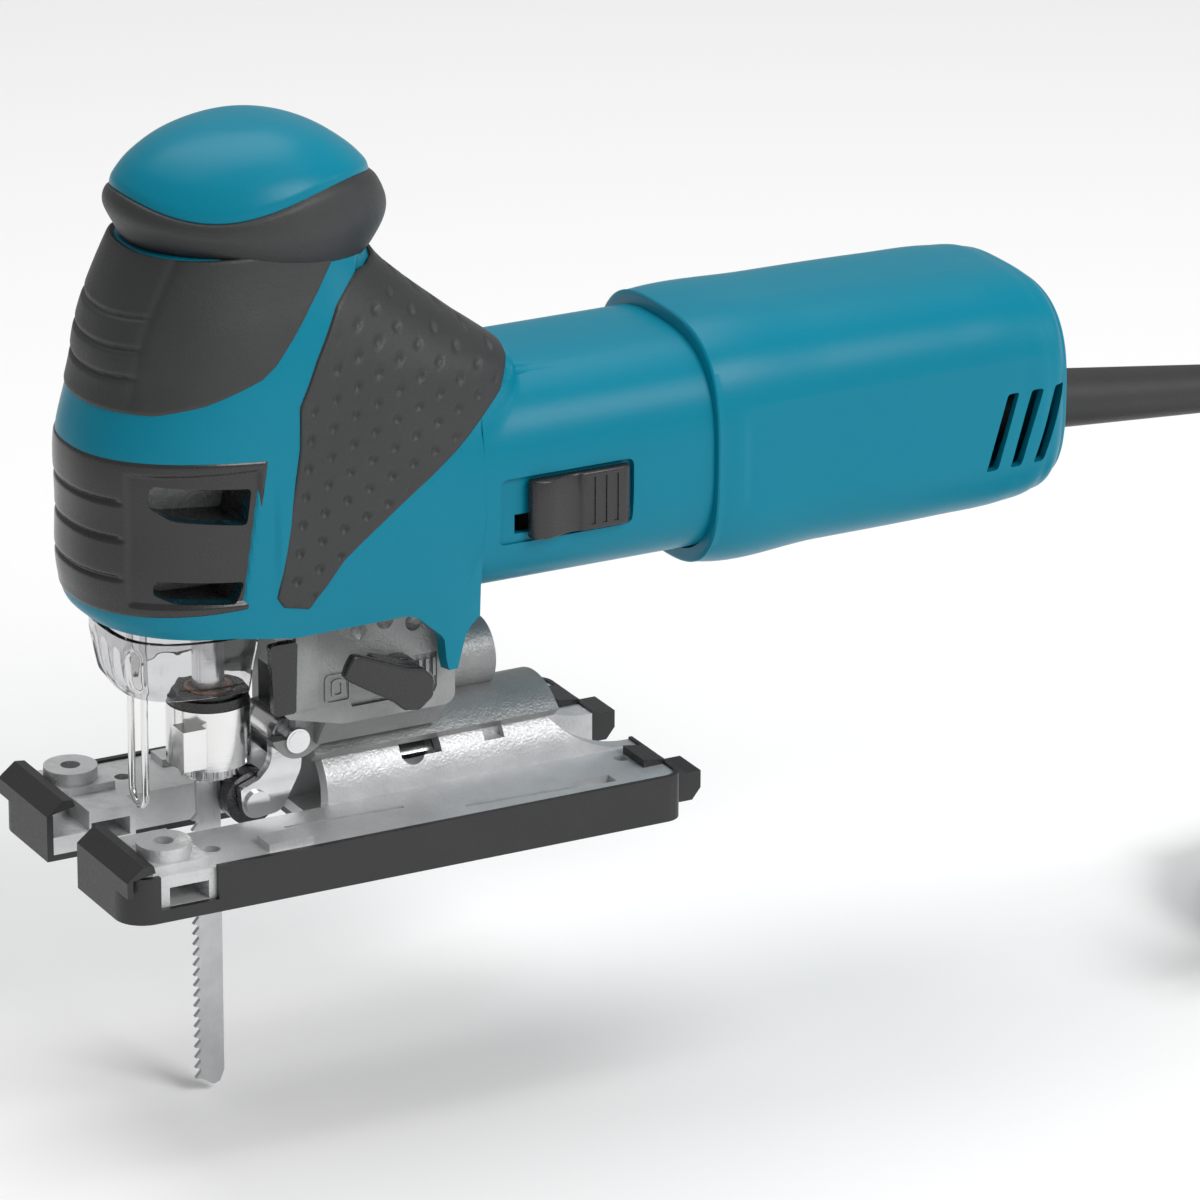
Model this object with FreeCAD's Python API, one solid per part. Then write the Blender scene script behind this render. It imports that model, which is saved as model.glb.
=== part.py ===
import FreeCAD, Part
import os
from math import acos, asin, atan2, cos, degrees, hypot, pi, radians, sin, tan

# Corded barrel-grip jigsaw with a tilting die-cast base. Millimetres.
# The drawing is laid out from the front edge of the base: x runs back towards the cord, y to the tool's right,
# z up from the cutting surface. save() moves it so that the origin is the middle of the base on that surface.
V = FreeCAD.Vector
ORIGIN_X = 77.0

# Driving dimensions
BASE_LENGTH = 153.7
BASE_WIDTH = 77.0
SOLE_SKIN = 1.6             # cover plate thickness
RAIL_TOP = 11.3
CRADLE_R = 14.0             # outside of the half-pipe that the tool tilts on
CRADLE_BORE = 9.8
TILT_Z = 12.5               # height of the tilt axis
CRADLE_FRONT = 66.0
SHOE_GAP = 0.25
SHOE_R = 18.0
SHOE_HALF_ANGLE = 47.0      # degrees each side of the top
BASE_SLIDE = 5.0            # how far the tool moves forward on the base
SLOT_HEIGHTS = (3.4, 8.2)   # room for a fence arm
ADAPTER_R = 2.0             # small screw holes in the rails
ADAPTER_HOLES = ((28.4, 26.3), (145.1, 20.1))
BOLT_X = 95.6
BOLT_R = 2.5
TILT = 45.0

STROKE = 26.0
PLUNGER_X = 40.0
ROD_R = 4.0
SHAFT_Z = 90.5              # motor shaft height
MODULE = 0.8
PINION_TEETH = 8
GEAR_TEETH = 55
GEAR_Z = SHAFT_Z + MODULE * (PINION_TEETH + GEAR_TEETH) / 2
GEAR_FRONT, GEAR_REAR = 54.0, 62.0
YOKE_Z = GEAR_Z - STROKE / 2        # slot centre at the bottom of the stroke
RUNNING = 0.05              # radial clearance of running fits

BLADE_LENGTH = 100.0
BLADE_TOP = 35.5
BLADE_THICKNESS = 1.25
BLADE_BACK_X = 42.8
BLADE_WIDTH = 7.8
TOOTH_PITCH = 2.8

ROLLER_R = 6.9
ROLLER_GROOVE_R = 6.2
ROLLER_X, ROLLER_Z = BLADE_BACK_X + 0.2 + ROLLER_GROOVE_R, 13.0
PIVOT_X, PIVOT_Z = 58.4, 29.4
EAR_INSIDE, EAR_OUTSIDE = 8.8, 12.4     # lugs of the housing that hold the pivot pin
RELEASE_PIVOT = (49.0, -24.2)
RELEASE_R = 1.5

SCREW_PLACES = ((24.0, 146.0), (66.0, 146.5), (91.0, 121.5))
HEAD_WALL = 4.0             # moulded shell, with its soft cover
PAD = 2.0                   # depth of the soft cover in the shell
SEAM_X = 101.5              # head shells meet the motor housing
STEP_X = 167.0              # motor housing meets the rear cover
TAIL_X = 271.0
TOOL_TOP = 188.2

LEVER_X, LEVER_Z = 80.0, 46.5
SIDE_FACE_Y = 22.5

CORD_R = 3.75
FLOOR_Z = -66.5             # the bench that the free cord hangs down to, just under the blade's tip
GUARD_START = V(262.0, 0, 81.0)
GUARD_LENGTH = 88.5
GUARD_DROOP = 5.8           # degrees below level
TURN_STEP = 7.6             # from one turn of the coil to the next
COIL_MIDDLE = V(366.0, -42.0, FLOOR_Z)
COIL_R = 39.2               # middle turn of the coil
COIL_HEIGHT = 22.9
LEAD_ROUTE = [(350.05, 0, 72.06), (366.96, 0, 70.34), (385, 0.5, 61.5), (398, 2, 44.5), (406, 6, 22),
              (410, 11, -2), (412, 9.5, -27), (413, -2, -48.5), (413, -20.5, -60.0), (412.8, -42, -62.75)]
# the free end: distance from the coil's middle, angle round it in degrees, height over the bench
TAIL_ROUTE = [(31.6, 30, 19.0), (34.0, 4, 20.3), (36.6, -22, 24.8), (37.6, -48, 29.3), (37.4, -74, 31.6),
              (37.0, -100, 31.8)]
DIAL_X, DIAL_Z, DIAL_R = 263.3, 102.5, 9.2


# Building blocks
def place(axis, at):
    """Return the function that puts a flat (u, v) point on the plane across an axis."""
    if axis == "x":
        return lambda u, v: V(at, u, v)
    if axis == "y":
        return lambda u, v: V(u, at, v)
    return lambda u, v: V(u, v, at)


def along(axis, amount):
    return V(*[amount if name == axis else 0 for name in "xyz"])


def box(x0, x1, y0, y1, z0, z1):
    return Part.makeBox(x1 - x0, y1 - y0, z1 - z0, V(x0, y0, z0))


def rod(axis, radius, start, end, u=0.0, v=0.0):
    """A cylinder along an axis; u and v are its place in the other two directions, in x, y, z order."""
    return Part.makeCylinder(radius, end - start, place(axis, start)(u, v), along(axis, 1))


def ring(axis, outer, inner, start, end, u=0.0, v=0.0):
    return rod(axis, outer, start, end, u, v).cut(rod(axis, inner, start - 1, end + 1, u, v))


def outline(corners, radii, put):
    """A closed wire through the corners, each rounded by an arc of its own radius."""
    if not isinstance(radii, (list, tuple)):
        radii = [radii] * len(corners)
    spans = []
    for i, (u, v) in enumerate(corners):
        r = radii[i]
        if r <= 0:
            spans.append([(u, v)])
            continue
        back, ahead = corners[i - 1], corners[(i + 1) % len(corners)]
        a = (back[0] - u, back[1] - v)
        b = (ahead[0] - u, ahead[1] - v)
        la, lb = hypot(*a), hypot(*b)
        a, b = (a[0] / la, a[1] / la), (b[0] / lb, b[1] / lb)
        half = acos(max(-1.0, min(1.0, a[0] * b[0] + a[1] * b[1]))) / 2
        reach = r / tan(half)
        mid = (a[0] + b[0], a[1] + b[1])
        lm = hypot(*mid)
        inset = r / sin(half) - r
        spans.append([(u + a[0] * reach, v + a[1] * reach),
                      (u + mid[0] / lm * inset, v + mid[1] / lm * inset),
                      (u + b[0] * reach, v + b[1] * reach)])
    edges = []
    for i, span in enumerate(spans):
        if len(span) == 3:
            edges.append(Part.Arc(*[put(*p) for p in span]).toShape())
        start, end = put(*span[-1]), put(*spans[(i + 1) % len(spans)][0])
        if (end - start).Length > 1e-4:
            edges.append(Part.makeLine(start, end))
    return Part.Wire(edges)


def prism(axis, corners, low, high, radii=0.0):
    return Part.Face(outline(corners, radii, place(axis, low))).extrude(along(axis, high - low))


def fuse(first, *others):
    return first.fuse(list(others)).removeSplitter()


def save(node, *pieces):
    """Write the pieces of a node, each a separate solid, to its STEP file."""
    solids = [solid for piece in pieces for solid in piece.Solids]
    shape = solids[0] if len(solids) == 1 else Part.makeCompound(solids)
    shape = shape.copy()
    shape.translate(V(-ORIGIN_X, 0, 0))
    shape.exportStep("parts/" + node + ".step")
    print(f"{node:20s} {len(solids):3d} solids {shape.Volume / 1000:8.2f} cm3 valid {shape.isValid()}")


# Base
def rail_slot(side):
    """Room for the arm of a rip fence, from the side edge inwards."""
    return [box(12, 22.5, *((-40, -19) if side < 0 else (9, 40)), *SLOT_HEIGHTS)]


def make_base():
    edge = BASE_WIDTH / 2 - SOLE_SKIN
    rails = prism("z", [(1.7, -edge), (BASE_LENGTH - 1.0, -edge), (BASE_LENGTH - 1.0, edge), (1.7, edge)],
                  SOLE_SKIN, RAIL_TOP, [6, 4, 4, 6])
    rails = rails.cut([box(-1, 26, -9, 9, 0, 20), box(24, CRADLE_FRONT, -14.5, 14.5, 0, 20),
                       box(CRADLE_FRONT - 1, BASE_LENGTH + 1, -CRADLE_BORE, CRADLE_BORE, 4.5, 20),
                       rod("z", 9, 0, 20, 26, 0)])
    # the front ends of the fork step down to a ledge
    for side in (-1, 1):
        outer = sorted((side * 8, side * 22)) if side > 0 else sorted((side * 8, side * 19))
        rails = rails.cut(box(-1, 11.5, outer[0], outer[1], 6.2, 20))
    cradle = ring("x", CRADLE_R, CRADLE_BORE, CRADLE_FRONT, BASE_LENGTH - 1.0, 0, TILT_Z)
    cradle = cradle.cut(box(CRADLE_FRONT - 1, BASE_LENGTH, -20, 20, -20, TILT_Z))
    feet = [box(CRADLE_FRONT, BASE_LENGTH - 1.0, *sorted((s * CRADLE_BORE, s * CRADLE_R)), RAIL_TOP - 2, TILT_Z)
            for s in (-1, 1)]
    body = fuse(rails, cradle, *feet)
    # swept end of the cradle, and its slot for the clamp bolt through the whole tilt
    body = body.cut(rod("y", 30, -20, 20, 152, 41.4))
    slot_front, slot_rear = BOLT_X - BASE_SLIDE - BOLT_R - 0.8, BOLT_X + BOLT_R + 0.4
    reach = radians(TILT) + asin((BOLT_R + 0.4) / CRADLE_BORE)
    wedge = prism("x", [(0, TILT_Z), (-30 * sin(reach), TILT_Z + 30 * cos(reach)), (0, TILT_Z + 44),
                        (30 * sin(reach), TILT_Z + 30 * cos(reach))], slot_front, slot_rear)
    body = body.cut([wedge, rod("y", 3.4, -20, -8, 90.6, 20.6), box(110.6, 116.2, -20, -9, 19.5, 23.5)])
    # fence clamp bosses, small threaded holes and rear holes
    for side in (-1, 1):
        boss = rod("z", 6.8, 9, 16.7, 14.8, side * 27.5)
        shoulder = box(8.4, 23.6, *sorted((side * 20, side * 35)), RAIL_TOP - 1, 13.4)
        body = fuse(body, boss, shoulder)
        holes = [rod("z", ADAPTER_R, 3.5, 20, x, side * y) for x, y in ADAPTER_HOLES]
        body = body.cut([rod("z", 2.5, 5.5, 20, 14.8, side * 27.5)] + holes + rail_slot(side))
        # raised pad and the long channel beside the outer edge
        body = fuse(body, box(40, 52, *sorted((side * 27.5, side * 34.5)), RAIL_TOP - 1, RAIL_TOP + 1.9))
        body = body.cut(prism("z", [(96, side * 29.5), (137, side * 31.5), (137, side * 33), (96, side * 30.7)],
                              RAIL_TOP - 1.2, RAIL_TOP + 1))
        body = body.cut(box(126, 137, *sorted((side * 28.5, side * 33)), RAIL_TOP - 2.6, RAIL_TOP + 1))
        body = body.cut(prism("z", [(50, side * 21.5), (82, side * 23), (82, side * 24.2), (50, side * 22.7)],
                              RAIL_TOP - 0.8, RAIL_TOP + 1))
    access = box(86, 106, -6, 6, -1, 6)
    body = body.cut([access, box(136, BASE_LENGTH + 1, -9.8, 9.8, -1, 20)])
    return body


def make_cover_plate():
    """The pressed-on sole cover: a floor, side walls, wrapped front lips and two rear hooks."""
    half = BASE_WIDTH / 2
    corners = [(0, -half), (BASE_LENGTH, -half), (BASE_LENGTH, half), (0, half)]
    plate = prism("z", corners, 0, 12.0, [7.5, 5, 5, 7.5])
    inner = half - SOLE_SKIN
    room = prism("z", [(1.7, -inner), (BASE_LENGTH - 1.0, -inner), (BASE_LENGTH - 1.0, inner), (1.7, inner)],
                 SOLE_SKIN, 30, [6, 4, 4, 6])
    plate = plate.cut([room, box(-1, 26, -9, 9, -1, 30), rod("z", 9, -1, 30, 26, 0),
                       box(24, CRADLE_FRONT, -14.5, 14.5, -1, 30), box(86, 106, -6, 6, -1, 30),
                       box(136, BASE_LENGTH + 1, -9.8, 9.8, -1, 30)])
    plate = plate.cut([box(9.0, 24.5, -40, -36.5, 3.3, 30), box(9.0, 24.5, 36.5, 40, 3.3, 30)])
    pieces = [plate]
    for side in (-1, 1):
        low, high = sorted((side * 9.0, side * half))
        fold = [(0, 8), (1.6, 8), (1.6, 12.4), (7.6, 13.5), (7.2, 15.3), (4.5, 15.6), (0, 12.0)]
        corner = [(-5, side * (half + 5)), (-5, side * (half - 3)), (7, side * (half + 5))]
        lip = prism("y", fold, low, high).cut([prism("z", corner, 0, 30)])
        pieces.append(lip)
        hook = prism("y", [(BASE_LENGTH - 1.0, 0), (161.0, 0.0), (163.4, 3.0), (163.4, 7.6), (159.0, 7.6),
                           (152.7, 12.6), (147.0, 13.4), (147.0, RAIL_TOP), (BASE_LENGTH - 1.0, RAIL_TOP)],
                     *sorted((side * 17.5, side * 28.5)))
        pieces.append(hook.cut(box(140, BASE_LENGTH - 1.0, -40, 40, SOLE_SKIN, RAIL_TOP)))
    return fuse(*pieces)


def make_clamp_saddle():
    saddle = rod("x", CRADLE_BORE - 0.3, BOLT_X - 13, BOLT_X + 7, 0, TILT_Z)
    saddle = saddle.cut(box(0, 200, -20, 20, -20, TILT_Z + 5.5))
    slot = prism("z", [(BOLT_X - BASE_SLIDE - 3.0, -2.8), (BOLT_X + 3.0, -2.8), (BOLT_X + 3.0, 2.8),
                       (BOLT_X - BASE_SLIDE - 3.0, 2.8)], 0, 40, 2.7)
    return saddle.cut(slot)


def make_clamp_bolt():
    seat = TILT_Z + 5.2
    bolt = fuse(rod("z", BOLT_R, seat - 1, 34, BOLT_X, 0), rod("z", 4.5, seat - 5.2, seat, BOLT_X, 0))
    hexagon = [(BOLT_X + 2.9 * cos(pi * k / 3), 2.9 * sin(pi * k / 3)) for k in range(6)]
    return bolt.cut(prism("z", hexagon, seat - 6, seat - 2.2))


# Gear housing: one casting from the shoe up to the plunger's top guide
def shoe():
    inner = CRADLE_R + SHOE_GAP
    part = ring("x", SHOE_R, inner, 63, 131, 0, TILT_Z)
    a = radians(SHOE_HALF_ANGLE)
    keep = prism("x", [(0, TILT_Z), (-40 * sin(a), TILT_Z + 40 * cos(a)), (0, TILT_Z + 60),
                       (40 * sin(a), TILT_Z + 40 * cos(a))], 60, 140)
    return part.common(keep)


def make_gear_housing():
    wide = box(43, 80, -25.4, 25.4, 74, GEAR_Z).fuse(box(43, 80, -23.5, 23.5, 65, 75))
    crown = rod("x", 25.4, 43, 80, 0, GEAR_Z).fuse(box(43, 54, -22.4, 22.4, GEAR_Z - 5, 139))
    front = box(18, 44, -15, 15, 66, 139)
    lower = prism("y", [(50, 66), (50, 40), (66, 36), (97, 36), (97, 66)], -SIDE_FACE_Y, SIDE_FACE_Y,
                  [0, 3, 2, 3, 0])
    neck = prism("x", [(-SIDE_FACE_Y, 41), (-14, 28), (-6, 28), (6, 28), (14, 28), (SIDE_FACE_Y, 41)], 63, 97)
    lobe = rod("x", 9, 95, 118, 5, 37)
    body = fuse(wide, crown, front, lower, neck, lobe, shoe())
    for side in (-1, 1):
        low, high = sorted((side * EAR_INSIDE, side * EAR_OUTSIDE))
        ear = prism("y", [(51, 30), (57.5, 22.6), (64.5, 27), (70, 30), (70, 44), (53, 44)], low, high,
                    [6.5, 6.5, 2, 0, 0, 3])
        rib = box(53.0, 59, *sorted((side * (SIDE_FACE_Y - 1), side * 23.5)), 42, 65.5)
        body = fuse(body, ear, rib)
    # bearing lug of the release lever, in front of the left side face
    body = fuse(body, box(46.2, 52, -25.8, -21, 62.2, 66.5))
    body = body.cut(rod("x", CRADLE_R + SHOE_GAP, 50, 140, 0, TILT_Z))
    # gear chamber, yoke chamber, plunger bore and the space below for the raised clamp
    body = body.cut([rod("x", 23.9, 43.4, 64.8, 0, GEAR_Z), box(43.4, 52.5, -21.4, 21.4, 92, 137),
                     box(21, 52, -12, 12, 83, 136), rod("z", 6.0, 60, 150, PLUNGER_X, 0),
                     box(26, 58, -17.5, 17.5, 30, 70.5), rod("z", RELEASE_R + RUNNING, 60, 68, *RELEASE_PIVOT)])
    body = body.cut([rod("x", 4.6, 50, 82, 0, SHAFT_Z), rod("x", 11.0 + RUNNING, 70, 82, 0, SHAFT_Z),
                     rod("x", 3.0, 60, 72, 0, GEAR_Z), rod("x", 13, 64, 70.2, 0, SHAFT_Z)])
    body = body.cut([rod("y", 2.5, -30, 30, PIVOT_X, PIVOT_Z), rod("z", BOLT_R, 20, 34, BOLT_X, 0),
                     rod("y", 5.1, -30, -12, LEVER_X, LEVER_Z)])
    # throat for the roller arm, clear of its swing
    body = body.cut(box(44, 67, -EAR_INSIDE, EAR_INSIDE, 20, 44))
    # lightening of the lower block, open towards the fan chamber
    body = body.cut(box(70, 94, -11, 19, 48, 62))
    for k, (x, z) in enumerate(((70.4, 59.6), (77.8, 61.2), (85.6, 59.4))):
        body = body.cut(Part.makeSphere(3.2, V(x, -SIDE_FACE_Y - 2.2, z)))
    body = body.cut(ring("y", 13, 6.4, -30, -SIDE_FACE_Y + 0.9, LEVER_X, LEVER_Z).common(
        box(66, 92, -30, -10, 40, 50.5)))
    # top guide of the plunger
    tower = rod("z", 9.0, 137, 149, PLUNGER_X, 0)
    body = fuse(body, tower)
    return body.cut(rod("z", 6.0, 130, 150, PLUNGER_X, 0))


def make_plunger_bushes():
    lower = ring("z", 6.0, ROD_R + RUNNING, 71.0, 83, PLUNGER_X, 0)
    upper = ring("z", 6.0, ROD_R + RUNNING, 137.2, 149, PLUNGER_X, 0)
    return [lower, upper]


# Motor and drive
def gear_blank(teeth, radius_pitch, start, end, z, phase, bore):
    """Straight teeth with narrow trapezoid flanks, so that the pair turns with backlash."""
    root, tip = radius_pitch - 0.85, radius_pitch + 0.6
    step = 2 * pi / teeth
    points = []
    for k in range(teeth):
        middle = k * step + phase
        for radius, half in ((root, 0.62), (tip, 0.24)):
            points.append((radius, middle - half / radius))
        for radius, half in ((tip, 0.24), (root, 0.62)):
            points.append((radius, middle + half / radius))
    corners = [(r * sin(a), z + r * cos(a)) for r, a in points]
    blank = prism("x", corners, start, end)
    return blank.cut(rod("x", bore, start - 1, end + 1, 0, z))


def make_crank_gear():
    # a tooth of the gear points down at the pinion, and the pinion has a gap there
    gear = gear_blank(GEAR_TEETH, MODULE * GEAR_TEETH / 2, GEAR_FRONT, GEAR_REAR, GEAR_Z, pi, 3.0 + RUNNING)
    for k in range(5):
        a = pi + (k - 2) * radians(42) + pi
        gear = gear.cut(rod("x", 3.6, GEAR_FRONT - 1, GEAR_REAR + 1, 14 * sin(a), GEAR_Z + 14 * cos(a)))
    return gear.cut(rod("x", 3.0, GEAR_FRONT - 1, GEAR_REAR + 1, 0, GEAR_Z - STROKE / 2))


def make_crank_pin():
    return fuse(rod("x", 3.0, 50.3, GEAR_REAR, 0, GEAR_Z - STROKE / 2),
                rod("x", 3.9, 50.3, GEAR_FRONT - 0.05, 0, GEAR_Z - STROKE / 2))


def make_gear_shaft():
    return rod("x", 3.0, 53.0, 72.0, 0, GEAR_Z)


def make_pinion():
    return gear_blank(PINION_TEETH, MODULE * PINION_TEETH / 2, GEAR_FRONT - 1, GEAR_REAR + 1, SHAFT_Z,
                      pi / PINION_TEETH, 1.6)


def make_armature_shaft():
    return fuse(rod("x", 1.6, 52.5, 64, 0, SHAFT_Z), rod("x", 4.0, 63.0, 200, 0, SHAFT_Z),
                rod("x", 3.0, 199, 207, 0, SHAFT_Z))


def make_armature_core():
    core = ring("x", 15.6, 4.0, 117, 163, 0, SHAFT_Z)
    slots = [rod("x", 1.5, 116, 164, 13.2 * sin(k * pi / 6), SHAFT_Z + 13.2 * cos(k * pi / 6))
             for k in range(12)]
    mouths = []
    for k in range(12):
        mouth = box(116, 164, -0.6, 0.6, SHAFT_Z + 13.2, SHAFT_Z + 17)
        mouth.rotate(V(0, 0, SHAFT_Z), V(1, 0, 0), k * 30)
        mouths.append(mouth)
    return core.cut(slots + mouths)


def make_armature_windings():
    return [ring("x", 14.0, 4.0, 110.5, 117, 0, SHAFT_Z), ring("x", 14.0, 4.0, 163, 170.5, 0, SHAFT_Z)]


def make_commutator():
    drum = ring("x", 10.5, 4.0, 176, 190, 0, SHAFT_Z)
    cuts = []
    for k in range(24):
        cut = box(175, 191, -0.2, 0.2, SHAFT_Z + 9.4, SHAFT_Z + 11)
        cut.rotate(V(0, 0, SHAFT_Z), V(1, 0, 0), k * 15)
        cuts.append(cut)
    return drum.cut(cuts)


def make_cooling_fan():
    hub = ring("x", 9, 4.0, 85, 97, 0, SHAFT_Z)
    disc = ring("x", 24, 4.0, 95, 97, 0, SHAFT_Z)
    blades = []
    for k in range(13):
        blade = box(86, 95.5, -0.7, 0.7, SHAFT_Z + 8, SHAFT_Z + 23.5)
        blade.rotate(V(0, 0, SHAFT_Z), V(1, 0, 0), k * 360 / 13)
        blades.append(blade)
    return fuse(hub, disc, *blades)


def make_shaft_bearings():
    return [ring("x", 11.0, 4.0 + RUNNING, 72.4, 79.4, 0, SHAFT_Z),
            ring("x", 9.5, 3.0 + RUNNING, 200.5, 206.5, 0, SHAFT_Z)]


def make_stator_core():
    core = ring("x", 25.4, 20.5, 115, 165, 0, SHAFT_Z)
    poles = ring("x", 21, 16.3, 115, 165, 0, SHAFT_Z)
    poles = poles.common(fuse(box(114, 166, -12, 12, SHAFT_Z + 5, SHAFT_Z + 30),
                              box(114, 166, -12, 12, SHAFT_Z - 30, SHAFT_Z - 5)))
    return fuse(core, poles)


def make_field_windings():
    coils = []
    for side in (-1, 1):
        end_space = box(104, 176, -17, 17, *sorted((SHAFT_Z + side * 8, SHAFT_Z + side * 30)))
        for start, end in ((106, 115), (165, 174)):
            coils.append(ring("x", 23.5, 17.0, start, end, 0, SHAFT_Z).common(end_space))
    return coils


def make_brush_holders():
    plate = ring("x", 25.2, 11.2, 181, 184, 0, SHAFT_Z)
    sleeves = [box(178, 187, *sorted((s * 12, s * 25)), SHAFT_Z - 5, SHAFT_Z + 5) for s in (-1, 1)]
    body = fuse(plate, *sleeves)
    return body.cut(box(179.4, 185.6, -30, 30, SHAFT_Z - 3.6, SHAFT_Z + 3.6))


def make_carbon_brushes():
    return [box(179.5, 185.5, *sorted((s * 10.7, s * 22)), SHAFT_Z - 3.5, SHAFT_Z + 3.5) for s in (-1, 1)]


def make_switch_block():
    return prism("x", [(-25, 72), (-9, 72), (-9, 96), (-25, 96)], 215, 243, 1.5)


def make_controller_board():
    return box(214, 246, -16, 16, 66.5, 69.0)


# Outer shells of the head
# height, front x, half width at the front, x where the side begins, half width, rear x, half width at the rear
HEAD_LEVELS = [
    (44.0, 12.0, 16.0, 38.0, 29.0, SEAM_X, 29.5),
    (65.0, 10.5, 18.0, 40.0, 30.0, SEAM_X, 30.5),
    (72.0, 4.1, 19.5, 42.0, 30.8, SEAM_X, 30.8),
    (113.0, 3.4, 19.5, 42.0, 31.0, SEAM_X, 30.8),
    (120.0, 5.4, 19.0, 40.0, 30.8, SEAM_X, 29.0),
    (126.0, 7.5, 18.5, 38.0, 30.4, SEAM_X, 27.0),
    (150.0, 13.2, 16.5, 34.0, 26.6, 84.0, 20.5),
    (160.0, 19.0, 15.0, 34.0, 24.5, 79.0, 18.0),
]


def head_loft(inset):
    wires = []
    for z, front, front_half, side_x, half, rear, rear_half in HEAD_LEVELS:
        corners = [(front + inset, -front_half + 0.6 * inset), (side_x, -half + inset), (rear, -rear_half + inset),
                   (rear, rear_half - inset), (side_x, half - inset), (front + inset, front_half - 0.6 * inset)]
        wires.append(outline(corners, [6, 12, 1, 1, 12, 6], place("z", z)))
    return Part.makeLoft(wires, True, True)


def saddle_hump(low, high):
    """Behind the knob the head flows down on to the motor housing."""
    return prism("y", [(90, 119.7), (115.2, 119.7), (115.2, 123.5), (112, 127), (96, 140), (88, 147), (80, 147)],
                 low, high, [0, 0, 3, 3, 0, 0, 0])


FRONT_GRIP_EDGE = [(-5, 124), (16.6, 123.9), (42.4, 131.6), (61.5, 160), (61.5, 161), (-5, 161)]
BEZEL_EDGE = [(-5, 72.5), (37, 74.5), (43, 111), (-5, 113)]
SIDE_GRIP_EDGE = [(45, 75), (53.3, 71.1), (62.8, 82.4), (94.2, 105.6), (SEAM_X, 112), (SEAM_X, 134.6),
                  (74, 155), (51, 125)]
LOWER_EDGE = [(-10, 30), (-10, 66.4), (34, 66.0), (50, 64.2), (82, 64.5), (91, 56.4), (91, 47), (95.5, 47),
              (SEAM_X - 2, 60), (SEAM_X + 20, 60), (SEAM_X + 20, 30)]


def biggest(shape):
    return max(shape.Solids, key=lambda solid: solid.Volume)


def make_head():
    outer = head_loft(0)
    under_pad = head_loft(PAD)
    inner = head_loft(HEAD_WALL)
    trim = prism("y", LOWER_EDGE, -60, 60)
    skin = outer.cut([under_pad, trim])
    core = outer.cut([inner, trim])
    grips = skin.common(prism("y", FRONT_GRIP_EDGE, -60, 60))
    bezel = skin.common(prism("y", BEZEL_EDGE, -60, 60))
    side_region = prism("y", SIDE_GRIP_EDGE, -60, 60)
    side = skin.common(side_region)
    windows = [prism("y", [(20, 106.5), (40, 103.5), (42, 97.5), (20, 100.5)], -60, 60),
               prism("y", [(21, 84), (37, 82), (38.5, 76.8), (21, 78.8)], -60, 60)]
    windows = [w.cut(box(0, 60, -12, 12, 60, 120)) for w in windows]
    hump = saddle_hump(-20, 20).cut([inner, outer])
    shells = core.cut([grips, bezel, side]).cut(windows)
    filled = outer.cut(prism("y", SIDE_GRIP_EDGE, -60, 60)).cut(grips).fuse(under_pad)
    bosses = [rod("y", 4.4, -35, 35, x, z).common(filled).cut([
        rod("y", 1.6, -9, 13.1, x, z), rod("y", 3.1, 13, 60, x, z), grips, side]) for x, z in SCREW_PLACES]
    shells = shells.cut([rod("y", 3.1, 13, 60, x, z) for x, z in SCREW_PLACES]).fuse(bosses)
    left = shells.common(box(-20, 130, -60, 0, 0, 200))
    right = shells.common(box(-20, 130, 0, 60, 0, 200))
    left_hump = hump.common(box(60, 130, -60, 0, 0, 200))
    right_hump = hump.common(box(60, 130, 0, 60, 0, 200))
    side_left = side.common(box(-20, 130, -60, -1, 0, 200))
    side_right = side.common(box(-20, 130, 1, 60, 0, 200))
    return {"head_shell_left": fuse(biggest(left), biggest(left_hump)),
            "head_shell_right": fuse(biggest(right), biggest(right_hump)),
            "front_grip": biggest(grips), "front_bezel": biggest(bezel.cut(windows)),
            "side_grip_left": biggest(side_left), "side_grip_right": biggest(side_right)}


def ellipse(x_mid, x_half, y_half, z):
    """A closed curve across the knob, as an ellipse."""
    return Part.Wire(Part.Ellipse(V(x_mid, 0, z), x_half, y_half).toShape())


def make_knob():
    """The palm knob: a soft collar and a hard cap, both hollow over the raised plunger."""
    collar = Part.makeLoft([ellipse(50.5, 31.5, 25.5, 160.0), ellipse(51.6, 34.6, 28.2, 165.0),
                            ellipse(51.0, 34.4, 28.8, 172.0)], True, True)
    cap = Part.makeLoft([ellipse(51.0, 34.2, 28.6, 172.0), ellipse(51.2, 32.0, 27.0, 178.0),
                         ellipse(51.4, 26.0, 22.5, 183.5), ellipse(51.6, 17.0, 15.0, 187.0),
                         ellipse(51.7, 6.0, 5.4, TOOL_TOP)], True, True)
    cavity = Part.makeLoft([ellipse(50.5, 25.0, 19.5, 159.0), ellipse(51.0, 28.0, 22.0, 168.0),
                            ellipse(51.4, 22.0, 18.0, 179.0), ellipse(51.4, 12.0, 10.0, 183.0)], True, True)
    return collar.cut(cavity), cap.cut(cavity)


# Barrel
def barrel_section(half_width, bottom, top, corner, x):
    corners = [(-half_width, bottom), (half_width, bottom), (half_width, top), (-half_width, top)]
    return outline(corners, corner, place("x", x))


def make_motor_housing():
    outer = Part.makeLoft([barrel_section(31.0, 62.0, 119.6, 21, SEAM_X),
                           barrel_section(30.6, 62.0, 119.6, 21, STEP_X)], True, True)
    room = Part.makeLoft([barrel_section(28.4, 64.6, 117.0, 19, SEAM_X - 1),
                          barrel_section(28.1, 64.6, 117.0, 19, STEP_X + 1)], True, True)
    body = outer.cut(room)
    # pocket of the slide switch, with a slot for its rod
    pocket = box(106.0, 141.5, -40, -29.4, 78.5, 95.5)
    return body.cut([pocket, box(110, 133, -40, -20, 80.5, 85.5)])


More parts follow.
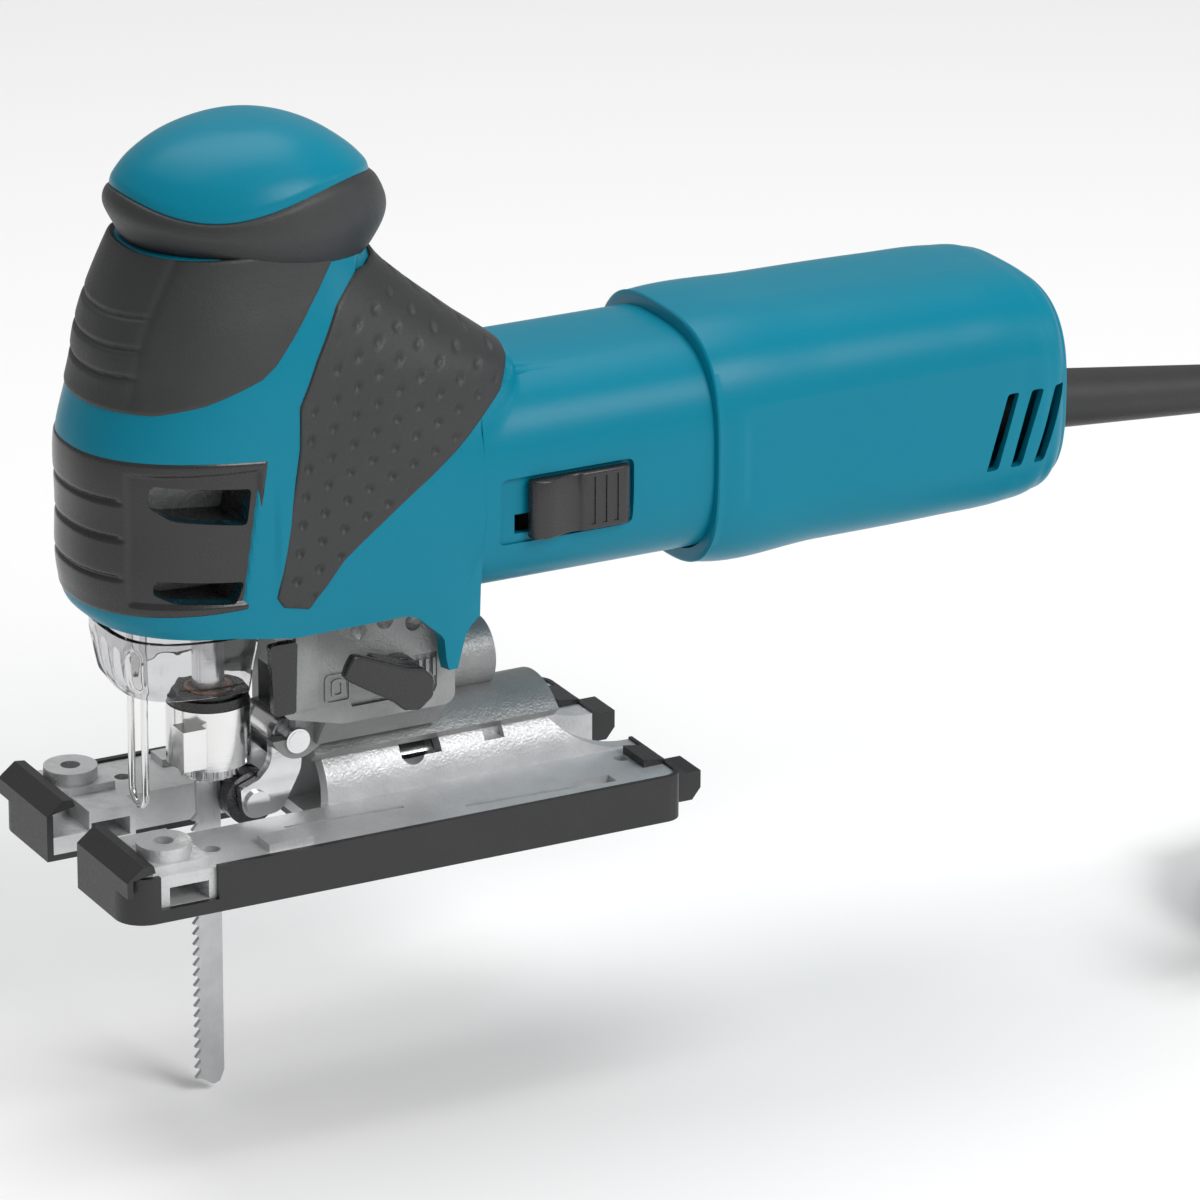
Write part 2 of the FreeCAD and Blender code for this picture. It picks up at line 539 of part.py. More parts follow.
def make_rear_cover():
    sections = [(STEP_X, 32.6, 58.0, 122.9), (250.0, 32.2, 59.2, 121.6), (262.0, 30.4, 61.0, 119.6),
                (268.5, 26.5, 65.0, 115.5), (TAIL_X, 21.0, 70.0, 110.0)]
    outer = Part.makeLoft([barrel_section(w, low, high, 19, x) for x, w, low, high in sections], True, True)
    inner_sections = [(STEP_X - 1, 29.8, 60.8, 120.1), (250.0, 29.4, 62.0, 118.8), (261.0, 27.4, 64.2, 116.6),
                      (267.0, 22.5, 69.0, 111.5)]
    inner = Part.makeLoft([barrel_section(w, low, high, 17, x) for x, w, low, high in inner_sections], True, True)
    body = outer.cut(inner)
    # boss of the rear bearing and ring that locates the brush plate
    socket = ring("x", 12.0, 9.5, 200.5, 209.0, 0, SHAFT_Z)
    web = prism("x", [(-30.8, 87), (30.8, 87), (30.8, 96), (-30.8, 96)], 206.5, 209.0)
    body = body.fuse([socket, web.cut(rod("x", 4.0, 200, 212, 0, SHAFT_Z))])
    for k in range(3):
        for side in (-1, 1):
            x = 243.0 + 7.2 * k
            slot = prism("y", [(x, 74.5), (x + 3.6, 74.5), (x + 9.6, 95.5), (x + 6.0, 95.5)],
                         *sorted((side * 20, side * 40)), 0.8)
            body = body.cut(slot)
    return body.cut([rod("x", 9.0, 255, 280, 0, 80.3), box(255, 280, -4.0, 4.0, DIAL_Z - 9.6, DIAL_Z + 9.6)])


def make_speed_dial():
    """A thumbwheel whose rim stands out of the tail, with finger notches."""
    wheel = fuse(rod("y", DIAL_R, -3.0, 3.0, DIAL_X, DIAL_Z), rod("y", 2.0, -6.0, 6.0, DIAL_X, DIAL_Z))
    reach = DIAL_R + 0.3
    notches = [rod("y", 0.9, -4, 4, DIAL_X + reach * cos(k * pi / 10), DIAL_Z + reach * sin(k * pi / 10))
               for k in range(20)]
    return wheel.cut(notches)


def make_switch_slider():
    slider = prism("y", [(113, 79.2), (141, 79.2), (141, 94.8), (113, 94.8)], -31.6, -29.6, 2.0)
    ridge = prism("z", [(113.5, -31), (119, -31), (124, -34.2), (113.5, -34.2)], 80, 94, 0.6)
    return fuse(slider, ridge)


def make_switch_rod():
    """The link that carries the slider's movement back to the switch at the tail."""
    return fuse(box(119, 125, -29.6, -26.4, 81, 85), box(119, 214.5, -27.6, -26.4, 81, 85),
                box(212, 214.5, -27.6, -18, 81, 85))


# Blade drive
def make_plunger_rod():
    return rod("z", ROD_R, 38.5, 148, PLUNGER_X, 0)


def make_yoke_plate():
    def long_hole(reach, radius, start, end):
        ends = [rod("x", radius, start, end, s * reach, YOKE_Z) for s in (-1, 1)]
        return fuse(box(start, end, -reach, reach, YOKE_Z - radius, YOKE_Z + radius), *ends)

    plate = long_hole(14.0, 6.5, 45.0, 50.0).cut(long_hole(13.0, 4.1, 44.0, 51.0))
    lugs = [box(PLUNGER_X + 1, 45.0, -3.0, 3.0, *sorted((YOKE_Z + s * 4.4, YOKE_Z + s * 6.4))) for s in (-1, 1)]
    lugs = [lug.cut(rod("z", ROD_R, 80, 130, PLUNGER_X, 0)) for lug in lugs]
    return fuse(plate, *lugs)


def make_clamp_body():
    body = fuse(rod("z", 6.3, 20, 40.5, PLUNGER_X, 0), rod("z", 7.4, 20.4, 23.6, PLUNGER_X, 0))
    body = body.cut([rod("z", ROD_R, 38.5, 60, PLUNGER_X, 0),
                     box(33, 47, -BLADE_THICKNESS / 2 - 0.05, BLADE_THICKNESS / 2 + 0.05, 10, BLADE_TOP + 0.3)])
    for k in range(16):
        a = (k + 0.5) * pi / 8
        body = body.cut(rod("z", 0.7, 19, 23.9, PLUNGER_X + 7.4 * cos(a), 7.4 * sin(a)))
    return biggest(body)


def make_clamp_spring():
    """The torsion spring that turns the sleeve back, as its three turns."""
    return [Part.makeTorus(5.5, 0.54, V(PLUNGER_X, 0, 41.1 + 1.1 * k), V(0, 0, 1)) for k in range(3)]


def make_saw_blade():
    """T-shank blade: lugs, stem, then a straight back with alternately set teeth and a raked tip."""
    tip = BLADE_TOP - BLADE_LENGTH
    front = BLADE_BACK_X - BLADE_WIDTH
    stem_mid = 39.4
    points = [(stem_mid - 2.6, BLADE_TOP), (stem_mid - 5.4, BLADE_TOP - 1.6),
              (stem_mid - 5.4, BLADE_TOP - 5.0), (stem_mid - 3.1, BLADE_TOP - 5.0),
              (stem_mid - 3.1, BLADE_TOP - 20.0), (front + 1.4, BLADE_TOP - 22.0),
              (front + 1.4, BLADE_TOP - 25.0)]
    count = 26
    for k in range(count):
        top = BLADE_TOP - 25.0 - k * TOOTH_PITCH
        points += [(front + 1.5, top - 0.9), (front, top - TOOTH_PITCH + 0.25), (front + 1.4, top - TOOTH_PITCH)]
    points += [(BLADE_BACK_X - 3.0, tip), (BLADE_BACK_X - 1.2, tip + 0.6), (BLADE_BACK_X, tip + 3.5),
               (BLADE_BACK_X, BLADE_TOP - 19.0), (stem_mid + 3.1, BLADE_TOP - 17.0),
               (stem_mid + 3.1, BLADE_TOP - 5.0), (stem_mid + 5.4, BLADE_TOP - 5.0),
               (stem_mid + 5.4, BLADE_TOP - 1.6), (stem_mid + 2.6, BLADE_TOP)]
    half = BLADE_THICKNESS / 2
    return prism("y", points, -half, half)


def make_clamp_sleeve():
    sleeve = ring("z", 10.5, 6.6, 24, 39.5, PLUNGER_X, 0)
    lug = box(28.0, 34.2, -11.5, -5.0, 26.0, 36.5)
    lug = lug.cut(rod("z", 6.6, 20, 50, PLUNGER_X, 0))
    return fuse(sleeve, lug)


def make_clamp_cap():
    cap = ring("z", 10.2, 6.6, 39.5, 42.0, PLUNGER_X, 0)
    return fuse(cap, ring("z", 9.2, 6.9, 41.9, 43.2, PLUNGER_X, 0))


# Blade guide
def make_roller_arm():
    cheeks = []
    for side in (-1, 1):
        low, high = sorted((side * 5.6, side * 8.2))
        cheek = prism("y", [(ROLLER_X - 4.4, ROLLER_Z + 4.0), (ROLLER_X - 3.6, ROLLER_Z - 4.6), (56.0, 9.6),
                            (61.5, 20.0), (61.6, 34.0), (53.4, 34.0), (53.4, 22.6), (50.0, 19.0)], low, high,
                      [1, 4, 4, 8, 4, 4, 6, 1])
        cheeks.append(cheek)
    hub = rod("y", 4.6, -EAR_INSIDE + 0.2, EAR_INSIDE - 0.2, PIVOT_X, PIVOT_Z)
    bridge = box(57.2, 61.4, -6, 6, 21, 30)
    arm = fuse(cheeks[0], cheeks[1], hub, bridge)
    return arm.cut([rod("y", 2.5 + RUNNING, -12, 12, PIVOT_X, PIVOT_Z),
                    rod("y", 2.0, -12, 12, ROLLER_X, ROLLER_Z)])


def make_roller_pin():
    return fuse(rod("y", 2.0, -8.2, 8.2, ROLLER_X, ROLLER_Z), rod("y", 3.2, -9.2, -8.2, ROLLER_X, ROLLER_Z),
                rod("y", 3.2, 8.2, 9.2, ROLLER_X, ROLLER_Z))


def make_guide_roller():
    wheel = ring("y", ROLLER_R, 2.0 + RUNNING, -5.2, 5.2, ROLLER_X, ROLLER_Z)
    return wheel.cut(ring("y", 12, ROLLER_GROOVE_R, -0.9, 0.9, ROLLER_X, ROLLER_Z))


def make_pivot_pin():
    return fuse(rod("y", 2.5, -EAR_OUTSIDE - 0.8, EAR_OUTSIDE + 0.6, PIVOT_X, PIVOT_Z),
                rod("y", 3.2, -EAR_OUTSIDE - 0.7, -EAR_OUTSIDE, PIVOT_X, PIVOT_Z))


def make_guard_wire():
    """The wire loop that keeps fingers off the blade: two legs and a half-round bottom."""
    radius, x = 0.9, 21.0
    legs = [rod("z", radius, 19, 66, x, s * 4.0) for s in (-1, 1)]
    bend = Part.makeTorus(4.0, radius, V(x, 0, 19), V(1, 0, 0)).common(box(10, 30, -10, 10, 10, 19))
    return fuse(bend, *legs)


def make_orbital_lever():
    """A hub with a tapering thumb piece, drawn level and then turned up to its off position."""
    stem = rod("y", 4.6, -SIDE_FACE_Y - 0.4, -12.5, LEVER_X, LEVER_Z)
    hub = rod("y", 6.0, -34.5, -SIDE_FACE_Y - 0.3, LEVER_X, LEVER_Z)
    thumb = prism("y", [(LEVER_X - 11.4, LEVER_Z - 4.0), (LEVER_X, LEVER_Z - 5.6), (LEVER_X, LEVER_Z + 5.6),
                        (LEVER_X - 11.4, LEVER_Z + 4.0)], -33.8, -25.0)
    # the tip passes outside the head shell's lower edge
    tip = prism("y", [(LEVER_X - 20.4, LEVER_Z - 3.4), (LEVER_X - 3, LEVER_Z - 5.0), (LEVER_X - 3, LEVER_Z + 5.0),
                      (LEVER_X - 20.4, LEVER_Z + 3.4)], -34.2, -31.4, [2.8, 0, 0, 2.8])
    lever = fuse(stem, hub, thumb, tip)
    lever.rotate(V(LEVER_X, 0, LEVER_Z), V(0, 1, 0), 27)
    return lever


def make_release_lever():
    """The blade release lever: an upright tongue on a stub that turns in the housing."""
    tongue = prism("y", [(45.4, 43), (51.2, 43), (51.8, 61.6), (44.4, 61.6)], -27.0, -24.8, 0.9)
    stub = rod("z", RELEASE_R, 47.0, 65.0, *RELEASE_PIVOT)
    return fuse(tongue, stub)


def make_dust_cover():
    """Clear cover round the front of the blade drive."""
    levels = [(46.5, 15.5, 12.0, 30.0, 17.5, 49.0), (54.0, 12.0, 14.0, 32.0, 19.5, 50.0),
              (63.6, 11.6, 14.0, 34.0, 23.0, 50.5)]

    def skin(inset, stretch):
        wires = []
        for k, (z, front, front_half, side_x, half, rear) in enumerate(levels):
            z += stretch * (k - 1)
            corners = [(front + inset, -front_half + inset / 2), (side_x, -half + inset), (rear, -half + inset),
                       (rear, half - inset), (side_x, half - inset), (front + inset, front_half - inset / 2)]
            wires.append(outline(corners, [4, 8, 1, 1, 8, 4], place("z", z)))
        return Part.makeLoft(wires, True, True)
    cover = skin(0, 0).cut(skin(1.8, 0.2))
    return cover.cut(box(43.6, 60, -40, 40, 40, 70))


def make_housing_screws():
    """Screws that hold the two head shells together, put in from the right."""
    screws = []
    for x, z in SCREW_PLACES:
        screws.append(fuse(rod("y", 1.6, -9, 13, x, z), rod("y", 3.0, 13, 15.5, x, z)))
    return screws


# Cord
def make_cord_guard():
    """Tapered rubber sleeve: a collar held behind the shell, then a long taper over the cord."""
    x, z = GUARD_START.x, GUARD_START.z
    collar = rod("x", 11.0, x - 3.5, x + 2.0, 0, z)
    neck = rod("x", 8.0, x, x + 12.0, 0, z)
    taper = Part.makeCone(8.0, 5.6, GUARD_LENGTH - 12.0, V(x + 12.0, 0, z), V(1, 0, 0))
    guard = fuse(collar, neck, taper)
    guard.rotate(GUARD_START, V(0, 1, 0), GUARD_DROOP)
    return guard


def rounded_path(points):
    """Straight runs joined by tangent arcs, each as large as its two runs allow. Returns edges and radii."""
    starts, ends, arcs, radii_made = [points[0]], [], [], []
    for before, corner, after in zip(points, points[1:], points[2:]):
        a, b = before - corner, after - corner
        shorter = min(a.Length, b.Length)
        a.normalize()
        b.normalize()
        turn = pi - a.getAngle(b)
        reach = 0.45 * shorter
        radius = reach / tan(turn / 2)
        radii_made.append(radius)
        middle = (a + b)
        middle.normalize()
        inset = radius / cos(turn / 2) - radius
        ends.append(corner + a * reach)
        starts.append(corner + b * reach)
        arcs.append((corner + a * reach, corner + middle * inset, corner + b * reach))
    ends.append(points[-1])
    edges = []
    for k in range(len(starts)):
        edges.append(Part.LineSegment(starts[k], ends[k]).toShape())
        if k < len(arcs):
            edges.append(Part.Arc(*arcs[k]).toShape())
    return edges, radii_made


def tube(points, name):
    """A plain round tube along a rounded path; prints its radii, its length and how true its volume is."""
    edges, made = rounded_path(points)
    wire = Part.Wire(edges)
    section = Part.Wire(Part.Circle(points[0], points[1] - points[0], CORD_R).toShape())
    solid = wire.makePipeShell([section], True, False)
    share = solid.Volume / (pi * CORD_R ** 2 * wire.Length)
    print(name, "length", round(wire.Length, 1), "radii", [round(r, 1) for r in made],
          "volume share", round(share, 4))
    return solid


def round_coil(radius, angle, height):
    """A place given by its distance, angle and height from the middle of the coil."""
    return COIL_MIDDLE + V(radius * cos(radians(angle)), radius * sin(radians(angle)), height)


def make_cord_coil():
    """The outer shape of three layers of three turns."""
    outer = COIL_R + TURN_STEP + CORD_R
    coil = ring("z", outer, COIL_R - TURN_STEP - CORD_R, FLOOR_Z, FLOOR_Z + COIL_HEIGHT, 0, 0)
    coil.translate(V(COIL_MIDDLE.x, COIL_MIDDLE.y, 0))
    return coil


def make_cord_tie():
    """A strap round the turns on the far side of the coil."""
    inside, outside = COIL_R - TURN_STEP - CORD_R, COIL_R + TURN_STEP + CORD_R
    strap = box(inside - 1.2, outside + 1.2, -4, 4, 0, COIL_HEIGHT + 1.2)
    strap = strap.cut(box(inside, outside, -5, 5, 1.0, COIL_HEIGHT))
    strap.rotate(V(0, 0, 0), V(0, 0, 1), 125)
    strap.translate(COIL_MIDDLE)
    return strap


def set_plug(shape):
    """Put a piece drawn along +x on the end of the cord's tail."""
    before, end = [round_coil(*point) for point in TAIL_ROUTE[-2:]]
    shape.rotate(V(0, 0, 0), V(0, 0, 1), degrees(atan2(end.y - before.y, end.x - before.x)))
    shape.translate(end)
    return shape


def make_plug_body():
    relief = Part.makeCone(4.6, 6.2, 20, V(0, 0, 0), V(1, 0, 0))
    rear = outline([(-7, -7), (7, -7), (7, 7), (-7, 7)], 4, place("x", 19.0))
    waist = outline([(-11.5, -8), (11.5, -8), (11.5, 8), (-11.5, 8)], 4, place("x", 30.0))
    face = outline([(-13, -8.5), (13, -8.5), (13, 8.5), (-13, 8.5)], 4, place("x", 50.0))
    return set_plug(fuse(relief, Part.makeLoft([rear, waist, face], True, True)))


def make_plug_blades():
    blades = []
    for side, width in ((-1, 6.3), (1, 7.9)):
        blade = prism("y", [(50, -width / 2), (67.5, -width / 2), (67.5, width / 2), (50, width / 2)],
                      side * 6.35 - 0.75, side * 6.35 + 0.75, [0, 1.2, 1.2, 0])
        blades.append(set_plug(blade.cut(rod("y", 1.5, -12, 12, 64, 0))))
    return blades


def save_all():
    os.makedirs("parts", exist_ok=True)
    save("base_plate", make_base())
    save("cover_plate", make_cover_plate())
    save("clamp_saddle", make_clamp_saddle())
    save("clamp_bolt", make_clamp_bolt())
    save("gear_housing", make_gear_housing())
    for node, piece in make_head().items():
        save(node, piece)
    collar, cap = make_knob()
    save("knob_grip", collar)
    save("knob_cap", cap)
    save("housing_screws", *make_housing_screws())
    save("motor_housing", make_motor_housing())
    save("rear_cover", make_rear_cover())
    save("stator_core", make_stator_core())
    save("field_windings", *make_field_windings())
    save("shaft_bearings", *make_shaft_bearings())
    save("brush_holders", make_brush_holders())
    save("carbon_brushes", *make_carbon_brushes())
    save("switch_block", make_switch_block())
    save("controller_board", make_controller_board())
    save("plunger_bushes", *make_plunger_bushes())
    save("gear_shaft", make_gear_shaft())
    save("crank_gear", make_crank_gear())
    save("crank_pin", make_crank_pin())
    save("pinion", make_pinion())
    save("armature_shaft", make_armature_shaft())
    save("armature_core", make_armature_core())
    save("armature_windings", *make_armature_windings())
    save("commutator", make_commutator())
    save("cooling_fan", make_cooling_fan())
    save("plunger_rod", make_plunger_rod())
    save("yoke_plate", make_yoke_plate())
    save("clamp_body", make_clamp_body())
    save("clamp_spring", *make_clamp_spring())
    save("saw_blade", make_saw_blade())
    save("clamp_sleeve", make_clamp_sleeve())
    save("clamp_cap", make_clamp_cap())
    save("roller_arm", make_roller_arm())
    save("roller_pin", make_roller_pin())
    save("guide_roller", make_guide_roller())
    save("pivot_pin", make_pivot_pin())
    save("guard_wire", make_guard_wire())
    save("orbital_lever", make_orbital_lever())
    save("release_lever", make_release_lever())
    save("dust_cover", make_dust_cover())
    save("switch_slider", make_switch_slider())
    save("switch_rod", make_switch_rod())
    save("speed_dial", make_speed_dial())
    save("cord_guard", make_cord_guard())
    save("cord_lead", tube([V(*p) for p in LEAD_ROUTE], "cord_lead"))
    save("cord_coil", make_cord_coil())
    save("cord_tail", tube([round_coil(*p) for p in TAIL_ROUTE], "cord_tail"))
    save("cord_tie", make_cord_tie())
    save("plug_body", make_plug_body())
    save("plug_blades", *make_plug_blades())


save_all()
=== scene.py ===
# %% [markdown]
# # A corded barrel-grip jigsaw
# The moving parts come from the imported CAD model. This lesson gives them their finish, and makes the soft,
# rounded plastic pieces again as smooth surfaces worked out with numpy, because a moulding has no flat facets.
# All lengths in the helpers are millimetres, with x measured back from the front edge of the base.

# %% Load the frame
import math

import bmesh
import bpy
import numpy as np
from mathutils import Matrix, Vector


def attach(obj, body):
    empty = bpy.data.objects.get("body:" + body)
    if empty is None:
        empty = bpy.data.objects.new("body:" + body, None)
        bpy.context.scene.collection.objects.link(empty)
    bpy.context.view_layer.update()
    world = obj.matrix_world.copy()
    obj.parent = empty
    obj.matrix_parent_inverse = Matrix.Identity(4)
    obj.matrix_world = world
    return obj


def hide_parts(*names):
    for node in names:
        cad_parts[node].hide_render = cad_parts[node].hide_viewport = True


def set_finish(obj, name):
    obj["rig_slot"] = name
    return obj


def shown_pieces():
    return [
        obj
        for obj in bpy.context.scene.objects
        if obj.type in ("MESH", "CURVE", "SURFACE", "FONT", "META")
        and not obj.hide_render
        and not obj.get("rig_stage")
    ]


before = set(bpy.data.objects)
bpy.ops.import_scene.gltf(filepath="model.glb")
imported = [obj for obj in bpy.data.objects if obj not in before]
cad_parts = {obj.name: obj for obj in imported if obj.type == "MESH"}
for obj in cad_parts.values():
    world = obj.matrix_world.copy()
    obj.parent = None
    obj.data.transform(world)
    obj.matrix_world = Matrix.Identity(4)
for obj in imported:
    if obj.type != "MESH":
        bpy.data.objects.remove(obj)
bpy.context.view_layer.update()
scene = bpy.context.scene
HALF_BASE = 77.0            # the row's origin is this far behind the front edge of the base
BENCH = -66.5               # height of the bench that the cord lies on


# %% [markdown]
# ## Camera, bench and light
# The tool is seen from its left and from the front, a little from above, through a long lens that hardly
# narrows what is farther away. A camera can be aimed with a constraint, or by building its three directions.
# The three directions are clearer here, because the small roll is one more turn of the same vectors.

# %% Camera
def row(x, y, z):
    """Metres in the row frame for drawing millimetres. Takes numbers or arrays; the last axis is x, y, z."""
    x, y, z = np.broadcast_arrays(np.asarray(x, float) - HALF_BASE, np.asarray(y, float),
                                  np.asarray(z, float))
    return np.stack([x, y, z], axis=-1) * 0.001


def add_camera(azimuth, elevation, roll, lens, distance, aim, shift_right, shift_down):
    """back = (sin a cos e, -cos a cos e, sin e); the eye stands `distance` along it from the aimed point."""
    a, e, r = (math.radians(v) for v in (azimuth, elevation, roll))
    back = Vector((math.sin(a) * math.cos(e), -math.cos(a) * math.cos(e), math.sin(e)))
    level = Vector((math.cos(a), math.sin(a), 0))
    rise = back.cross(level)
    right = level * math.cos(r) + rise * math.sin(r)
    up = rise * math.cos(r) - level * math.sin(r)
    eye = Vector(aim) + right * shift_right - up * shift_down + back * distance
    data = bpy.data.cameras.new("camera")
    data.lens, data.sensor_width = lens, 36.0
    data.clip_start, data.clip_end = 0.05, 50
    camera = bpy.data.objects.new("camera", data)
    camera.matrix_world = Matrix.Translation(eye) @ Matrix((right, up, back)).transposed().to_4x4()
    scene.collection.objects.link(camera)
    scene.camera = camera


add_camera(-28.12, 20.88, 0.28, 227.3, 1.8894, row(120, 0, 80), 0.02596, 0.02666)


# %% Bench and studio light
def add_bench(half, height):
    """One level square, far wider than the view."""
    mesh = bpy.data.meshes.new("bench")
    mesh.from_pydata([(-half, -half, height), (half, -half, height), (half, half, height),
                      (-half, half, height)],
                     [], [(0, 1, 2, 3)])
    bench = bpy.data.objects.new("bench", mesh)
    scene.collection.objects.link(bench)
    paint = bpy.data.materials.new("pale_bench")
    paint.use_nodes = True
    shader = paint.node_tree.nodes["Principled BSDF"]
    shader.inputs["Base Color"].default_value = (0.97, 0.97, 0.97, 1)
    shader.inputs["Roughness"].default_value = 0.9
    shader.inputs["Specular IOR Level"].default_value = 0.1
    mesh.materials.append(paint)
    bench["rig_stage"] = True


def add_softbox(name, place, towards, size, power):
    """A square area light at one point, turned to face another."""
    data = bpy.data.lights.new(name, "AREA")
    data.shape, data.size, data.energy = "SQUARE", size, power
    light = bpy.data.objects.new(name, data)
    light.location = place
    light.rotation_mode = "QUATERNION"
    light.rotation_quaternion = (Vector(towards) - Vector(place)).to_track_quat("-Z", "Y")
    scene.collection.objects.link(light)


add_bench(6.0, BENCH * 0.001)
add_softbox("key_softbox", (0.6, -1.5, 1.3), (0.05, 0, 0.08), 0.9, 22)
add_softbox("side_softbox", (1.7, -0.9, 0.7), (0.05, 0, 0.08), 0.8, 3)
add_softbox("top_softbox", (0.1, 0.4, 1.6), (0.05, 0, 0.08), 1.4, 16)
world = bpy.data.worlds.new("studio")
world.use_nodes = True
world.node_tree.nodes["Background"].inputs["Color"].default_value = (1, 1, 1, 1)
world.node_tree.nodes["Background"].inputs["Strength"].default_value = 0.34
scene.world = world
scene.view_settings.view_transform = "Standard"


# %% [markdown]
# ## The mains cord
# The cord is 2.5 m of 7.5 mm rubber lead. It leaves its guard at the tail, falls to the bench, and the spare
# length is put away as a neat coil of three layers of three turns, tied, with the plug on top. A cord could be
# a swept mesh, but one NURBS curve keeps every bend smooth from a few points, so all of it is one spline.
# In a coil each turn is one lap of a spiral, stepping in or out by one cord width near the end of each lap.

# %% Cord
CORD_R = 3.75
COIL_X, COIL_Y, COIL_MIDDLE_R, TURN_STEP = 366.0, -42.0, 39.2, 7.6
LEAD_POINTS = [(350.05, 0, 72.06), (366.96, 0, 70.34), (385, 0.5, 61.5), (398, 2, 44.5), (406, 6, 22),
               (410, 11, -2), (412, 9.5, -27), (413, -2, -48.5), (413, -20.5, -60.0), (412.8, -42, -62.75)]
TAIL_POINTS = [(31.6, 30, 19.0), (34.0, 4, 20.3), (36.6, -22, 24.8), (37.6, -48, 29.3), (37.4, -74, 31.6),
               (37.0, -100, 31.8)]


def around_coil(radius, degrees, height):
    """A place by its distance from the coil's middle, its angle and its height over the bench."""
    t = np.radians(degrees)
    return np.stack(np.broadcast_arrays(COIL_X + radius * np.cos(t), COIL_Y + radius * np.sin(t),
                                        BENCH + height), -1)


def coil_turns(per_turn=16):
    """Radius and height hold for most of each lap and glide to the next lap's with a smooth step."""
    laps = [COIL_MIDDLE_R + TURN_STEP * k for k in (1, 0, -1, -1, 0, 1, 1, 0, -1)]
    heights = [CORD_R + 7.6 * layer for layer in (0, 0, 0, 1, 1, 1, 2, 2, 2)]
    count = int(per_turn * 8.9167)
    lap = np.arange(1, count) / per_turn
    k = np.minimum(lap.astype(int), 8)
    glide = np.clip((lap - k - 0.80) / 0.20, 0, 1)
    glide = glide * glide * (3 - 2 * glide)
    after = np.minimum(k + 1, 8)
    radius = np.array(laps)[k] * (1 - glide) + np.array(laps)[after] * glide
    height = np.array(heights)[k] * (1 - glide) + np.array(heights)[after] * glide
    return around_coil(radius, -360 * lap, height)


def make_cord():
    tail = np.array([around_coil(*p) for p in TAIL_POINTS])
    points = np.concatenate([np.array(LEAD_POINTS, float), coil_turns(), tail])
    curve = bpy.data.curves.new("mains_cord", "CURVE")
    # the tube's radius is the bevel depth times each point's own radius, which also sets the curve's box
    curve.dimensions, curve.bevel_depth, curve.bevel_resolution = "3D", 1.0, 5
    curve.resolution_u, curve.use_fill_caps = 5, True
    spline = curve.splines.new("NURBS")
    spline.points.add(len(points) - 1)
    flat = np.concatenate([row(*points.T), np.ones((len(points), 1))], axis=1)
    spline.points.foreach_set("co", flat.ravel())
    spline.points.foreach_set("radius", np.full(len(points), CORD_R * 0.001))
    spline.order_u, spline.use_endpoint_u = 3, True
    cord = bpy.data.objects.new("mains_cord", curve)
    scene.collection.objects.link(cord)
    return cord


mains_cord = make_cord()
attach(mains_cord, "tool_body")
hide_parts("cord_lead", "cord_coil", "cord_tail")
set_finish(mains_cord, "cord_rubber")


# %% [markdown]
# ## Turning formulas into meshes
# Every new piece is one or more grids of points. A grid can be closed round its rows, so that its last column
# meets its first, and several grids of one piece are welded where their edges share points.

# %% Grids to meshes
def grid_faces(rows, columns, first, loop):
    """Quads between neighbouring rows and columns; `loop` also joins the last column to the first."""
    i, j = np.meshgrid(np.arange(rows - 1), np.arange(columns if loop else columns - 1), indexing="ij")
    nxt = (j + 1) % columns
    quads = np.stack([i * columns + j, i * columns + nxt, (i + 1) * columns + nxt, (i + 1) * columns + j],
                     -1)
    return quads.reshape(-1, 4) + first


def make_piece(name, grids, slot, body="tool_body", replaces=(), smooth=35, weld=2e-6):
    """One object from (points, loop) grids in metres, welded, with its faces turned outwards."""
    points, faces, first = [], [], 0
    for grid, loop in grids:
        rows, columns = grid.shape[:2]
        points.append(grid.reshape(-1, 3))
        faces.append(grid_faces(rows, columns, first, loop))
        first += rows * columns
    mesh = bpy.data.meshes.new(name)
    mesh.from_pydata(np.concatenate(points), [], np.concatenate(faces).tolist())
    tool = bmesh.new()
    tool.from_mesh(mesh)
    bmesh.ops.remove_doubles(tool, verts=tool.verts, dist=weld)
    bmesh.ops.dissolve_degenerate(tool, edges=tool.edges, dist=1e-7)
    bmesh.ops.recalc_face_normals(tool, faces=tool.faces)
    tool.to_mesh(mesh)
    tool.free()
    mesh.shade_smooth()
    mesh.set_sharp_from_angle(angle=math.radians(smooth))
    piece = bpy.data.objects.new(name, mesh)
    scene.collection.objects.link(piece)
    if body:
        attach(piece, body)
        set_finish(piece, slot)
        piece["finish"] = slot
    if replaces:
        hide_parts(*replaces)
    return piece


def outward(grid, loop=False):
    """Unit normals of a grid from the cross product of its two directions."""
    along_rows = np.gradient(grid, axis=0)
    if loop:
        wide = np.concatenate([grid[:, -1:], grid, grid[:, :1]], axis=1)
        along_columns = np.gradient(wide, axis=1)[:, 1:-1]
    else:
        along_columns = np.gradient(grid, axis=1)
    normal = np.cross(along_rows, along_columns)
    return normal / np.maximum(np.linalg.norm(normal, axis=2, keepdims=True), 1e-12)


def away_from(points, centre):
    """Unit normals of a grid, on the side away from a point within."""
    normal = outward(points)
    return -normal if (normal * (points - np.array(centre))).sum() < 0 else normal


def cut_away(piece, cutters):
    """Subtract closed shapes from a piece with Boolean modifiers, and keep the result as its mesh."""
    for cutter in cutters:
        step = piece.modifiers.new("cut", "BOOLEAN")
        step.operation, step.solver, step.object = "DIFFERENCE", "EXACT", cutter
    bpy.context.view_layer.update()
    made = bpy.data.meshes.new_from_object(piece.evaluated_get(bpy.context.evaluated_depsgraph_get()))
    piece.modifiers.clear()
    piece.data = made
    for cutter in cutters:
        bpy.data.objects.remove(cutter)
    made.shade_smooth()
    made.set_sharp_from_angle(angle=math.radians(35))


def ease(t):
    """Smooth step from 0 to 1."""
    t = np.clip(t, 0, 1)
    return t * t * (3 - 2 * t)


